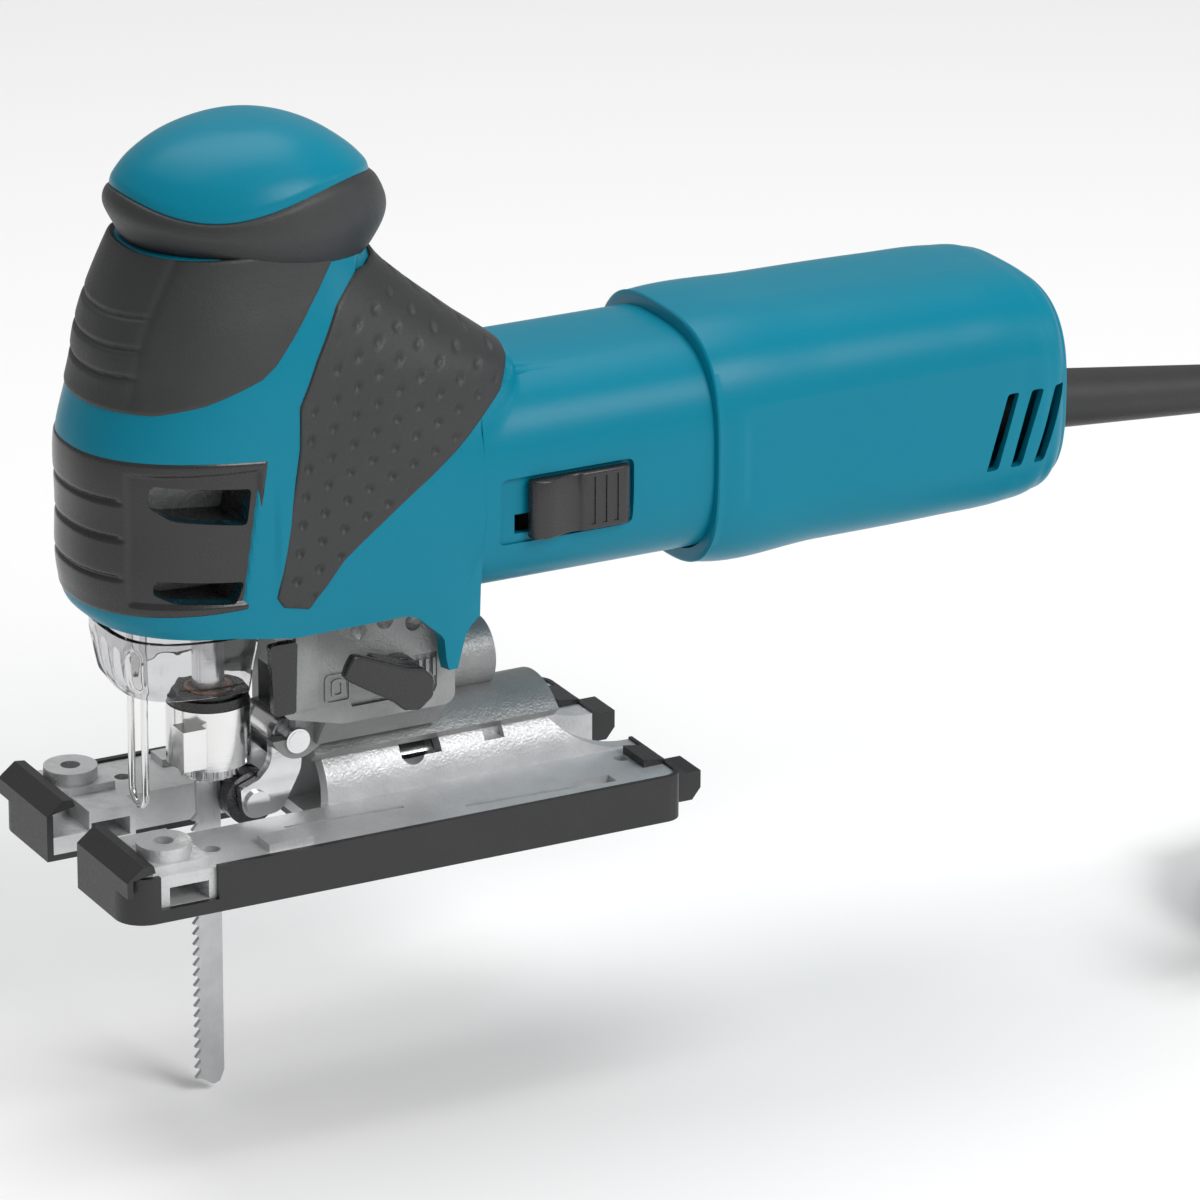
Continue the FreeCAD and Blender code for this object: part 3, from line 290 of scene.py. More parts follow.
def through(z, table, column):
    """Read one column of a small table of stations at the heights or lengths z, with a smooth cubic run."""
    table = np.array(table, float)
    t, v = table[:, 0], table[:, column]
    slope = np.gradient(v, t)
    k = np.clip(np.searchsorted(t, z, side="right") - 1, 0, len(t) - 2)
    h = t[k + 1] - t[k]
    s = np.clip((z - t[k]) / h, 0, 1)
    return ((2 * s**3 - 3 * s**2 + 1) * v[k] + (s**3 - 2 * s**2 + s) * h * slope[k]
            + (3 * s**2 - 2 * s**3) * v[k + 1] + (s**3 - s**2) * h * slope[k + 1])


# %% [markdown]
# ## The head
# The head is a round-fronted block that narrows to a neck and flows back, as a saddle, on to the barrel. It
# could be sculpted, but every piece of its skin (shell, soft grips, bezel) must share one form. So the form is
# given as level functions, whose value is zero on the surface, and each piece finds its own points by
# shooting rays at them and halving the interval until they meet the surface.

# %% Form of the head and barrel
SEAM_X, STEP_X, AXIS_Z, MIDDLE_X = 101.5, 167.0, 90.5, 45.0
# height, front, half width, rear, squareness of the rear
HEAD = [(44, 13.5, 28.6, 119, 4.5), (56, 12.2, 29.4, 119, 4.5), (64, 11.2, 30.0, 119, 4.5),
        (70, 5.2, 30.6, 119, 4.5),
        (76, 3.7, 30.9, 119, 4.5), (95, 3.4, 31.0, 119, 4.5), (113, 3.6, 31.0, 118, 4.4),
        (124, 6.6, 30.5, 115.4, 4.0),
        (130, 8.1, 29.9, 107.5, 3.5), (136, 8.9, 29.0, 100.0, 3.0), (143, 10.7, 27.8, 91.5, 2.6),
        (150, 13.4, 26.2, 84.2, 2.3), (156, 16.2, 24.9, 80.6, 2.2), (164, 20.6, 23.6, 79.6, 2.2),
        (175, 26, 20, 76, 2.2)]


def head_level(x, y, z):
    """(|dx| / reach)^n + (|y| / half)^n - 1 across each height, where n is rounder in front than behind."""
    front, half, rear, square = (through(z, HEAD, k) for k in (1, 2, 3, 4))
    ahead = x < MIDDLE_X
    reach = np.where(ahead, MIDDLE_X - front, rear - MIDDLE_X)
    n = np.where(ahead, 2.25, square)
    return np.abs((x - MIDDLE_X) / reach) ** n + np.abs(y / half) ** n - 1


def barrel_level(x, y, z, half=31.0, low=62.0, high=119.6, n=2.9):
    """The same rule across the barrel: a rounded oblong of constant height."""
    middle = (low + high) / 2
    return np.abs(y / half) ** n + np.abs((z - middle) / (high - middle)) ** n - 1


def shoot(level, start, direction, reach=130.0):
    """Distance along each ray at which a level function turns positive, by halving."""
    near, far = np.zeros(direction.shape[:-1]), np.full(direction.shape[:-1], reach)
    for _ in range(34):
        half = (near + far) / 2
        inside = level(*np.moveaxis(start + direction * half[..., None], -1, 0)) < 0
        near, far = np.where(inside, half, near), np.where(inside, far, half)
    return near


def soft_larger(a, b, blend):
    """The larger of two distances, eased where they are within `blend` of each other."""
    h = np.clip(0.5 + 0.5 * (a - b) / blend, 0, 1)
    return b + (a - b) * h + blend * h * (1 - h)


def around_neck(angle, z):
    """Millimetre points on the form at angles round the upright line x = MIDDLE_X; angle 0 looks forwards."""
    angle, z = np.broadcast_arrays(angle, z)
    start = np.stack([np.full_like(z, MIDDLE_X), 0 * z, z], -1)
    direction = np.stack([-np.cos(angle), np.sin(angle), 0 * z], -1)
    reach = shoot(head_level, start, direction)
    barrel = shoot(barrel_level, start, direction)
    inside = (z > 63) & (z < 118.5) & (np.cos(angle) < 0)
    reach = np.where(inside, soft_larger(reach, np.where(inside, barrel, 0), 2.0), reach)
    return start + direction * reach[..., None]


def around_axis(x, angle):
    """Millimetre points on the form at angles round the motor's line: 0 is the left side, 90 the top."""
    x, angle = np.broadcast_arrays(x, angle)
    start = np.stack([x, 0 * x, np.full_like(x, AXIS_Z)], -1)
    direction = np.stack([0 * x, -np.cos(angle), np.sin(angle)], -1)
    # the head table has no underside, so behind the seam it only counts upwards
    head = np.where((x < 118) & ((x < 99) | (angle % (2 * np.pi) < np.pi)),
                    shoot(head_level, start, direction), 0)
    barrel = np.where(x > 96, shoot(barrel_level, start, direction), 0)
    reach = np.where(head > 0, soft_larger(head, barrel, 2.0), barrel)
    return start + direction * reach[..., None]


def metres(points):
    return row(points[..., 0], points[..., 1], points[..., 2])


# side view outlines of the soft covers and the bezel, within which the shell below them lies lower
COVERED = [[(-5, 73), (37, 73), (42.5, 112), (-5, 112)],
           [(-5, 124.5), (16.6, 124.5), (42.4, 132.5), (61.5, 160), (61.5, 175), (-5, 175)],
           [(45, 75), (53.3, 71.1), (62.8, 82.4), (94.2, 105.6), (101.5, 112.5), (106.5, 116.5), (115, 118),
            (115, 175),
            (82.6, 175), (79, 157), (72.5, 155), (51.3, 125), (51, 113)]]


def depth_inside(x, z, outline):
    """Distance in from the nearest edge of a side view outline, and 0 outside it."""
    nearest, inside = np.full(x.shape, 1e3), np.zeros(x.shape, bool)
    for (x1, z1), (x2, z2) in zip(outline, outline[1:] + outline[:1]):
        t = np.clip(((x - x1) * (x2 - x1) + (z - z1) * (z2 - z1)) / ((x2 - x1) ** 2 + (z2 - z1) ** 2), 0, 1)
        nearest = np.minimum(nearest, np.hypot(x - x1 - t * (x2 - x1), z - z1 - t * (z2 - z1)))
        if z1 != z2:
            inside ^= ((z1 > z) != (z2 > z)) & (x < x1 + (z - z1) * (x2 - x1) / (z2 - z1))
    return np.where(inside, nearest, 0)


def sink(points, inward, depth=1.5):
    """Points moved inwards by up to `depth` mm where a cover lies over them."""
    cover = np.max([depth_inside(points[..., 0], points[..., 2], outline) for outline in COVERED], axis=0)
    return points + inward * (depth * ease((cover - 1.0) / 1.4))[..., None]


def thick_patch(name, points, normal, slot, rise=0.5, root=1.6, rounding=1.2, **kind):
    """A soft cover on the form: raised by `rise`, its edges roll down by a quarter circle into a skirt."""
    rows, columns = points.shape[:2]
    step_r = np.linalg.norm(np.diff(points, axis=0), axis=2)
    step_c = np.linalg.norm(np.diff(points, axis=1), axis=2)
    down = np.concatenate([np.zeros((1, columns)), np.cumsum(step_r, 0)])
    side = np.concatenate([np.zeros((rows, 1)), np.cumsum(step_c, 1)], 1)
    edge = np.minimum(np.minimum(down, down[-1] - down), np.minimum(side, side[:, -1:] - side))
    t = np.clip(edge / rounding, 0, 1)
    height = rise * np.sqrt(1 - (1 - t) ** 2)
    face = points + normal * height[..., None]
    rim = np.concatenate([face[0], face[1:, -1], face[-1, -2::-1], face[-2:0:-1, 0]])
    inward = np.concatenate([normal[0], normal[1:, -1], normal[-1, -2::-1], normal[-2:0:-1, 0]])
    skirt = np.stack([rim, rim - inward * root], axis=0)
    return make_piece(name, [(metres(face), False), (metres(skirt), True)], slot, **kind)


# %% [markdown]
# ### Head shells
# The shell is one hard moulding in two halves. Its skin is shot from the neck's upright line. The lower edge
# steps down behind to a tab over the housing, and the top ends inside the knob's collar.

# %% Head shell
def lower_edge(x):
    """Height of the shell's lower edge along the side."""
    return np.interp(x, [0, 12, 34, 50, 80, 83, 91, 92.2, 96, 97.5, SEAM_X],
                     [66.8, 66.8, 66.4, 64.0, 64.3, 63.4, 56.4, 47.2,
                                                                          47.2, 57.0, 60.0])


def skin_side(angles, levels):
    """A grid from the lower edge up, every column one angle round the neck. Points past the seam stop there."""
    grid = np.empty((levels, len(angles), 3))
    low = np.full(len(angles), 62.0)
    for _ in range(12):
        low = lower_edge(np.clip(around_neck(angles, low)[:, 0], 0, SEAM_X))
    t = np.linspace(0, 1, levels)[:, None]
    z = low[None] * (1 - t) + 160.5 * t
    grid = around_neck(np.broadcast_to(angles, z.shape), z)
    over = grid[..., 0] > SEAM_X
    flow = z > 117.5
    grid[..., 0] = np.where(over & ~flow, SEAM_X, grid[..., 0])
    return grid


def make_head_shell():
    half_turn = np.concatenate([np.linspace(0, 1.9, 78), np.linspace(1.917, np.pi, 96)])
    angles = np.concatenate([-half_turn[::-1], half_turn[1:]])
    outer = skin_side(angles, 132)
    centre = np.stack([np.clip(outer[..., 0], 30, 84), 0 * outer[..., 0], outer[..., 2]], -1)
    inward = centre - outer
    inward /= np.maximum(np.linalg.norm(inward, axis=2, keepdims=True), 1e-9)
    outer = sink(outer, inward)
    inner = outer + inward * 3.0
    lip = np.stack([outer[0], inner[0]])
    top = np.stack([inner[-1], outer[-1]])
    return make_piece("head_shell", [(metres(outer), False), (metres(inner[::-1]), False),
                                     (metres(lip), False),
                                     (metres(top), False)],
                      "teal_shell", replaces=("head_shell_left", "head_shell_right"))


head_shell = make_head_shell()


# %% Side grips
def grip_patch(sign):
    """Between a lower and an upper edge line, each given by x and the angle round the motor line."""
    lower = np.array([(44.6, -26.0), (46.5, -30.0), (53.3, -32.2), (58, -24.5), (62.8, -14.8), (78, 5.5),
                      (94.2, 26.5),
                      (101.5, 37.0), (107.5, 45.5), (112, 58.0), (114.6, 72.0), (115.4, 90.0)])
    upper = np.array([(44.6, -26.0), (46.0, -15.0), (48.6, 15.0), (51.0, 36.0), (51.3, 47.0), (56.5, 56.0),
                      (63.5, 65.0),
                      (70.5, 71.0), (76.5, 75.2), (80.0, 79.5), (82.8, 90.0), (115.4, 90.0)])

    def measure(line):
        # a degree round the motor line counts as 0.55 mm
        return np.concatenate([[0], np.cumsum(np.hypot(*(np.diff(line, axis=0) * (1.0, 0.55)).T))])

    t = np.linspace(0, 1, 150)
    low_s, high_s = measure(lower), measure(upper[:-1])
    low = np.stack([np.interp(t * low_s[-1], low_s, lower[:, k]) for k in (0, 1)], -1)
    high = np.stack([np.interp(np.minimum(t / 0.72, 1) * high_s[-1], high_s, upper[:-1, k]) for k in (0,
                                                                                                      1)],
                    -1)
    past = np.clip((t - 0.72) / 0.28, 0, 1)
    high[:, 0] = high[:, 0] * (1 - past) + 115.4 * past
    v = np.linspace(0, 1, 110)[:, None]
    x = low[:, 0] * (1 - v) + high[:, 0] * v
    angle = np.radians(low[:, 1] * (1 - v) + high[:, 1] * v)
    points = around_axis(x, angle)
    normal = away_from(points, (80.0, 0, AXIS_Z))
    if sign > 0:
        points, normal = points * (1, -1, 1), normal * (1, -1, 1)
    return points, normal


def pebble(points, normal, depth, clear):
    """Round dimples on a staggered lattice across the side: each is a shallow bowl, 1.3 mm in radius."""
    u, w = points[..., 0] * 0.94 + points[..., 2] * 0.34, points[..., 2] * 0.94 - points[..., 0] * 0.34
    row_number = np.round(w / 6.4)
    du = (u - 3.2 * (row_number % 2)) / 6.4
    du = (du - np.round(du)) * 6.4
    dw = w - row_number * 6.4
    bowl = np.clip(1 - (du**2 + dw**2) / 1.35**2, 0, 1)
    return points - normal * (depth * bowl * clear)[..., None]


def make_side_grip(sign, name):
    points, normal = grip_patch(sign)
    rows, columns = points.shape[:2]
    i, j = np.meshgrid(np.arange(rows), np.arange(columns), indexing="ij")
    clear = ease((np.minimum(i, rows - 1 - i) - 4) / 6) * ease((np.minimum(j, columns - 1 - j) - 4) / 6)
    points = pebble(points, normal, 0.75, clear)
    return thick_patch("grip_" + name, points, normal, "soft_grip", rise=0.55, root=2.0,
                       replaces=("side_grip_" + name,))


make_side_grip(-1, "left")
make_side_grip(1, "right")


# %% Front grip and bezel
def neck_patch(name, angles, low, high, rows, slot, rise, bands=None, **kind):
    """A cover round the front of the neck between two edge lines, both given along the angle."""
    v = np.linspace(0, 1, rows)[:, None]
    z = low[None] * (1 - v) + high[None] * v
    points = around_neck(np.broadcast_to(angles, z.shape), z)
    normal = away_from(points, (MIDDLE_X, 0, 110.0))
    if bands is not None:
        points = points + normal * bands(points)[..., None]
    return thick_patch(name, points, normal, slot, rise=rise, **kind)


def front_bands(points):
    """Level ribs across the front face: shallow steps, that fade out towards the sides."""
    y, z = points[..., 1], points[..., 2]
    face = 1 - ease((np.abs(y) - 15.5) / 3.0)
    groove = np.zeros_like(z)
    for height in (131.5, 138.5, 146.0):
        groove -= 0.75 * np.exp(-((z - height - 0.003 * y**2) / 0.7) ** 2)
    crease = -0.5 * np.exp(-((np.abs(y) - 17.5) / 0.9) ** 2)
    return groove * face + crease * ease((z - 124) / 4)


def make_front_grip():
    wrap = np.radians(144)
    angles = np.linspace(-wrap, wrap, 260)
    turn = np.degrees(np.abs(angles))
    low = np.interp(turn, [0, 38, 58, 84, 92, 101, 113, 125, 136, 144],
                    [123.7, 124.0, 126.4, 131.4, 134.4, 139.6, 146.8, 152.8, 157.6, 160.2])
    high = np.full_like(low, 160.6)
    return neck_patch("front_grip_cover", angles, low, high, 110, "soft_grip", 0.45, front_bands,
                      replaces=("front_grip",))


def bezel_bands(points):
    """Shallow level grooves across the bezel's front face and a frame round its windows."""
    x, y, z = np.moveaxis(points, -1, 0)
    face = 1 - ease((np.abs(y) - 16.5) / 3.0)
    groove = np.zeros_like(z)
    for height in (82.5, 92.5, 102.0):
        groove -= 0.7 * np.exp(-((z - height) / 0.7) ** 2)
    inside = ease((z - 75) / 1.5) * ease((110 - z) / 1.5) * ease((41.0 - x) / 1.5)
    recess = -0.9 * ease((np.abs(y) - 18.5) / 1.5) * inside
    return groove * face + recess


def make_bezel():
    low_turn, high_turn = math.atan2(30.6, MIDDLE_X - 37.0), math.atan2(30.8, MIDDLE_X - 42.5)
    s = np.linspace(-1, 1, 240)
    v = np.linspace(0, 1, 130)[:, None]
    angles = s[None] * (low_turn * (1 - v) + high_turn * v)
    z = 72.8 * (1 - v) + (112.6 - 1.4 * np.abs(s)[None] ** 3) * v + 1.2 * np.abs(s)[None] ** 3 * (1 - v)
    points = around_neck(angles, z)
    normal = away_from(points, (MIDDLE_X, 0, 95.0))
    points = points + normal * bezel_bands(points)[..., None]
    return thick_patch("window_bezel", points, normal, "dark_plastic", rise=0.35, root=1.4,
                       replaces=("front_bezel",))


make_front_grip()
bezel = make_bezel()


# %% Windows through the bezel
def wedge(corners, low, high, axis="y"):
    """A closed prism for cutting: a flat outline in side view, or in another plane, carried along the axis."""
    outline = np.array(corners, float)
    put = {"y": lambda a, b, c: (a, c, b), "z": lambda a, b, c: (a, b, c), "x": lambda a, b,
           c: (c, a, b)}[axis]
    rings = np.stack([np.stack(np.broadcast_arrays(*put(outline[:, 0], outline[:, 1], level)), -1)
                      for level in (low, high)])
    points = metres(rings)
    n = len(outline)
    mesh = bpy.data.meshes.new("cutter")
    sides = [(k, (k + 1) % n, n + (k + 1) % n, n + k) for k in range(n)]
    mesh.from_pydata(points.reshape(-1, 3), [], [tuple(range(n))[::-1], tuple(range(n, 2 * n))] + sides)
    tool = bmesh.new()
    tool.from_mesh(mesh)
    bmesh.ops.recalc_face_normals(tool, faces=tool.faces)
    tool.to_mesh(mesh)
    tool.free()
    cutter = bpy.data.objects.new("cutter", mesh)
    scene.collection.objects.link(cutter)
    return cutter


def rounded(corners, radius, steps=6):
    """The outline again, with a quadratic run between two tangents in place of each corner."""
    corners = np.array(corners, float)
    made = []
    for before, corner, after in zip(np.roll(corners, 1, 0), corners, np.roll(corners, -1, 0)):
        a = (before - corner) / np.linalg.norm(before - corner)
        b = (after - corner) / np.linalg.norm(after - corner)
        t = np.linspace(0, 1, steps)[:, None]
        first, last = corner + a * radius, corner + b * radius
        made.append((1 - t) ** 2 * first + 2 * t * (1 - t) * corner + t**2 * last)
    return np.concatenate(made)


WINDOWS = ([(15.0, 106.6), (38.4, 104.6), (37.2, 95.4), (19.5, 97.6), (14.4, 101.2)],
           [(15.6, 82.4), (36.4, 81.0), (34.4, 75.6), (20.0, 76.4), (15.2, 78.6)])
for piece in (bezel, head_shell):
    cut_away(piece, [wedge(rounded(w, 1.4), side * 12, side * 40) for w in WINDOWS for side in (-1, 1)])


# %% [markdown]
# ### Palm knob
# The knob is a soft collar under a hard cap. It leans forwards, so its rings are tilted ellipses: each ring is
# given by its front point, its rear point and its half width, and the height runs evenly between the two.

# %% Knob
def tilted_rings(stations, per_ring=160, smooth_steps=10):
    """Rings (front x, front z, rear x, rear z, half width, wave) joined by smooth runs through the stations.

    z += wave * sin(a)^2 * -cos(a): each ring dips at its front quarters and lifts at its rear quarters.
    """
    stations = np.array(stations, float)
    t = np.arange(len(stations))
    fine = np.linspace(0, len(stations) - 1, (len(stations) - 1) * smooth_steps + 1)
    table = np.column_stack([t, stations])
    fx, fz, rx, rz, half, wave = (through(fine, table, k)[:, None] for k in range(1, 7))
    angle = np.linspace(0, 2 * np.pi, per_ring, endpoint=False)[None]
    along = (1 - np.cos(angle)) / 2
    z = fz + (rz - fz) * along - wave * np.sin(angle) ** 2 * np.cos(angle)
    return np.stack(np.broadcast_arrays(fx + (rx - fx) * along, half * np.sin(angle), z), -1)


def close_tip(grid):
    """Shrink a last ring to its middle, to close a pole."""
    return np.concatenate([grid, np.broadcast_to(grid[-1:].mean(axis=1, keepdims=True), grid[-1:].shape)])


def make_knob():
    collar = tilted_rings([(26, 156, 78.6, 149.4, 19.5, 0), (20.8, 160.6, 80.6, 151.4, 22.8, 0),
                           (18.6, 164.4, 83.6, 155.2, 26.0, 1), (16.6, 168.6, 86.6, 160.6, 28.4, 3),
                           (16.5, 171.2, 87.0, 165.0, 28.9, 5.5), (17.4, 173.2, 84.8, 170.0, 28.5, 8),
                           (18.4, 173.8, 82.6, 172.0, 27.6, 9), (20.4, 173.9, 80.8, 172.4, 26.6, 9),
                           (24, 171.4, 76, 170.0, 24.0, 8), (27.5, 166, 73.5, 164, 21.0, 4),
                           (27.5, 159, 76, 153, 19.0, 1), (26, 156, 78.6, 149.4, 19.5, 0)])
    make_piece("knob_collar", [(metres(collar), True)], "soft_grip", replaces=("knob_grip",), smooth=60)
    cap = tilted_rings([(22, 172.2, 79, 171.0, 25.6, 9), (18.8, 173.6, 82.0, 172.2, 27.3, 9),
                        (18.4, 174.6, 82.3, 173.0, 27.5, 9), (19.4, 176.8, 81.2, 175.4, 26.9, 7.5),
                        (23.2, 180.6, 77.2, 179.4, 24.0, 4.5), (30.0, 184.6, 70.2, 184.0, 18.6, 2),
                        (39.0, 187.2, 61.2, 187.1, 11.0, 0.5), (47.5, 188.1, 54.5, 188.1, 3.6, 0)])
    make_piece("knob_top", [(metres(close_tip(cap)), True)], "teal_shell", replaces=("knob_cap",),
               smooth=60)


make_knob()


# %% [markdown]
# ## The barrel
# The motor housing carries on from the head in the same form, and the rear cover is pushed over it, a little
# larger, with flatter sides. Both are rings across the motor line, given by an angle all round.

# %% Motor housing
def make_motor_housing():
    stations = np.concatenate([np.linspace(SEAM_X, 118, 40), np.linspace(118.6, STEP_X + 3, 60)])[:, None]
    angle = np.linspace(-np.pi, np.pi, 260, endpoint=False)[None]
    outer = around_axis(stations, angle)
    middle = np.array([0, 0, AXIS_Z])
    inward = np.stack(np.broadcast_arrays(0 * stations, np.cos(angle), -np.sin(angle)), -1)
    outer = sink(outer, inward)
    inner = outer.copy()
    inner[..., 1:] = middle[1:] + (outer[..., 1:] - middle[1:]) * 0.915
    grids = [(metres(outer), True), (metres(inner[::-1]), True),
             (metres(np.stack([outer[0], inner[0]])), True),
             (metres(np.stack([inner[-1], outer[-1]])), True)]
    return make_piece("motor_shell", grids, "teal_shell", replaces=("motor_housing",))


motor_shell = make_motor_housing()
POCKET = [(105.4, 95.6), (142.4, 95.6), (142.4, 78.2), (105.4, 78.2)]
ROD_SLOT = [(110, 85.5), (133, 85.5), (133, 80.5), (110, 80.5)]
cut_away(motor_shell, [wedge(rounded(POCKET, 2.0), -40, -29.3), wedge(ROD_SLOT, -30, -20)])


# %% Rear cover
# x, half width, bottom, top, squareness
COVER = [(165.2, 31.9, 58.9, 122.1, 3.0), (165.4, 32.5, 58.2, 122.8, 3.0), (166.2, 32.6, 58.0, 122.9, 3.0),
         (200, 32.6, 58.3, 122.7, 3.1),
         (235, 32.4, 58.8, 122.0, 3.2), (254, 31.9, 59.4, 121.3, 3.2), (262, 31.0, 60.4, 120.3, 3.1),
         (267.5, 28.6, 62.8, 117.6, 3.0),
         (270.2, 24.0, 67.0, 113.0, 2.8), (271.0, 18.0, 73.0, 107.0, 2.6)]


def cover_point(x, angle, inset=0.0):
    """Oblong rings with a flat panel down each side: the width is held back to a level between two creases."""
    half, low, high, n = (through(x, COVER, k) for k in (1, 2, 3, 4))
    middle, tall = (low + high) / 2, (high - low) / 2
    c, s = np.cos(angle), np.sin(angle)
    reach = (np.abs(c / half) ** n + np.abs(s / tall) ** n) ** (-1 / n) - inset
    y, z = -reach * c, middle + reach * s
    panel = half - 0.75
    flat = ease((x - 172) / 3) * ease((262 - x) / 8) * ease((z - 71.5) / 1.6) * ease((104.5 - z) / 1.6)
    y = np.where(np.abs(y) > panel, np.sign(y) * (np.abs(y) * (1 - flat) + panel * flat), y)
    return np.stack(np.broadcast_arrays(x, y, z), -1)


def make_rear_cover():
    stations = np.concatenate([[165.2, 165.4, 165.8, 166.2], np.linspace(168, 254, 110),
                               np.linspace(255, 271, 40)])[:, None]
    angle = np.linspace(-np.pi, np.pi, 300, endpoint=False)[None]
    outer = cover_point(stations, angle)
    inside = np.concatenate([[165.2, 166.2], np.linspace(168, 266, 60)])[:, None]
    inner = cover_point(inside, angle, inset=2.6)
    grids = [(metres(close_tip(outer)), True), (metres(close_tip(inner)), True),
             (metres(np.stack([inner[0], outer[0]])), True)]
    return make_piece("tail_shell", grids, "teal_shell", replaces=("rear_cover",))


tail_shell = make_rear_cover()
vents = []
for k in range(3):
    x = 243.6 + 7.2 * k
    outline = rounded([(x, 75.0), (x + 3.4, 75.0), (x + 9.4, 95.0), (x + 6.0, 95.0)], 0.9)
    vents += [wedge(outline, side * 20, side * 40) for side in (-1, 1)]
cut_away(tail_shell, vents + [wedge([(258, -4.2), (274, -4.2), (274, 4.2), (258, 4.2)], 93.2, 111.8, "z")])


# %% [markdown]
# ### Slide switch and levers
# These are small hard mouldings with soft edges. A side view carried across the tool gives the body, and a
# bevel with several segments rounds what a mould would round.

# %% Small mouldings
def bevelled(piece, width, segments=3, angle=30):
    """Round the edges sharper than `angle`, and keep the result as the piece's mesh."""
    step = piece.modifiers.new("edges", "BEVEL")
    step.width, step.segments = width * 0.001, segments
    step.limit_method, step.angle_limit = "ANGLE", math.radians(angle)
    step.harden_normals = False
    bpy.context.view_layer.update()
    made = bpy.data.meshes.new_from_object(piece.evaluated_get(bpy.context.evaluated_depsgraph_get()))
    piece.modifiers.clear()
    piece.data = made
    made.shade_smooth()
    made.set_sharp_from_angle(angle=math.radians(40))
    return piece


def block(name, outline, low, high, slot, body="tool_body", replaces=(), axis="y", bevel=0.5, segments=3):
    """A flat outline carried along an axis, with rounded edges."""
    piece = wedge(outline, low, high, axis)
    piece.name = piece.data.name = name
    if bevel:
        bevelled(piece, bevel, segments)
    if body:
        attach(piece, body)
        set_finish(piece, slot)
        piece["finish"] = slot
    if replaces:
        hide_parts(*replaces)
    return piece


def make_slider():
    """Seen from above: a thumb ramp at its front half that rises to a ridge, then a flat rear half."""
    top = [(113.2, -30.0), (113.2, -31.9), (114.2, -33.4), (117.0, -34.15), (119.8, -33.5), (124.0, -32.2),
           (126.4, -32.2),
           (127.2, -32.9), (139.6, -32.9), (140.8, -32.0), (140.8, -30.0)]
    slider = block("slide_switch", top, 79.4, 94.6, "dark_plastic", "switch", ("switch_slider",), axis="z",
                   bevel=0.55)
    grooves = [wedge([(129.5 + 3.2 * k, -34.5), (130.7 + 3.2 * k, -34.5), (130.7 + 3.2 * k, -32.55),
                      (129.5 + 3.2 * k, -32.55)], 80.8, 93.2, "z") for k in range(3)]
    cut_away(slider, grooves)
    return slider


make_slider()


# %% Selector marks
def make_marks():
    """Low raised marks for the two ends of the lever's turn: a nought in a frame, and three strokes."""
    marks = []
    for name, across, tall, wall in (("nought", 3.4, 4.8, 0.75), ("frame", 7.0, 7.6, 0.5)):
        outer, inner = ([(64.6 + sx * (across / 2 - w), 45.7 + sz * (tall / 2 - w)) for sx, sz in
                         ((-1, -1), (1, -1), (1, 1), (-1, 1))] for w in (0, wall))
        mark = block("mark_" + name, rounded(outer, 1.4), -22.9, -22.3, "cast_aluminium", bevel=0)
        cut_away(mark, [wedge(rounded(inner, 0.7), -24, -21)])
        marks.append(mark)
    for k in range(3):
        x = 86.9 + 1.9 * k
        outline = [(x, 44.4), (x + 0.8, 44.4), (x + 0.8, 49.2), (x, 49.2)]
        marks.append(block(f"mark_stroke_{k + 1}", outline, -22.9, -22.3, "cast_aluminium", bevel=0))
    # the marks take the darker copy of the casting metal, the painted shade of the gear housing's recess they
    # stand in
    for mark in marks:
        mark["finish"] = "cast_painted_shade"


make_marks()


# %% Orbital lever
def turned(piece, middle_x, middle_z, degrees):
    """Turn a piece's points about a line across the tool, so that a level drawing takes its rest position."""
    centre = Vector(row(middle_x, 0, middle_z))
    spin = Matrix.Translation(centre) @ Matrix.Rotation(math.radians(degrees), 4,
                                                        "Y") @ Matrix.Translation(-centre)
    piece.data.transform(spin)
    return piece


def make_orbital_lever():
    """A round hub with a waisted thumb piece, and a stem into the housing."""
    t = np.linspace(0, 2 * np.pi, 72, endpoint=False)
    thumb = [(60.0, 43.6), (61.8, 43.0), (70.0, 42.3), (76.0, 41.9), (80.0, 40.7), (84.0, 42.2),
             (85.9, 46.5), (84.0, 50.8),
             (80.0, 52.3), (76.0, 51.1), (70.0, 50.7), (61.8, 50.0), (60.0, 49.4), (59.7, 46.5)]
    outer = block("lever_thumb", rounded(thumb, 0.8, 4), -34.3, -31.45, "dark_plastic", "orbital_selector",
                  (), bevel=0.7,
                  segments=4)
    near = [(69.0, 42.9), (76.0, 41.9), (80.0, 40.7), (84.0, 42.2), (85.9, 46.5), (84.0, 50.8),
            (80.0, 52.3), (76.0, 51.1),
            (69.0, 50.1)]
    inner = block("lever_hub", rounded(near, 0.8, 4), -32.4, -24.9, "dark_plastic", "orbital_selector", (),
                  bevel=0.8,
                  segments=3)
    collar = block("lever_collar", np.stack([80 + 5.9 * np.cos(t), 46.5 + 5.9 * np.sin(t)], -1), -27.0,
                   -22.8,
                   "dark_plastic", "orbital_selector", (), bevel=0.3)
    stem = block("lever_stem", np.stack([80 + 4.5 * np.cos(t), 46.5 + 4.5 * np.sin(t)], -1), -24.0, -12.6,
                 "dark_plastic",
                 "orbital_selector", (), bevel=0.3)
    for part in (outer, inner, collar, stem):
        turned(part, 80.0, 46.5, 27)
    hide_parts("orbital_lever")


make_orbital_lever()
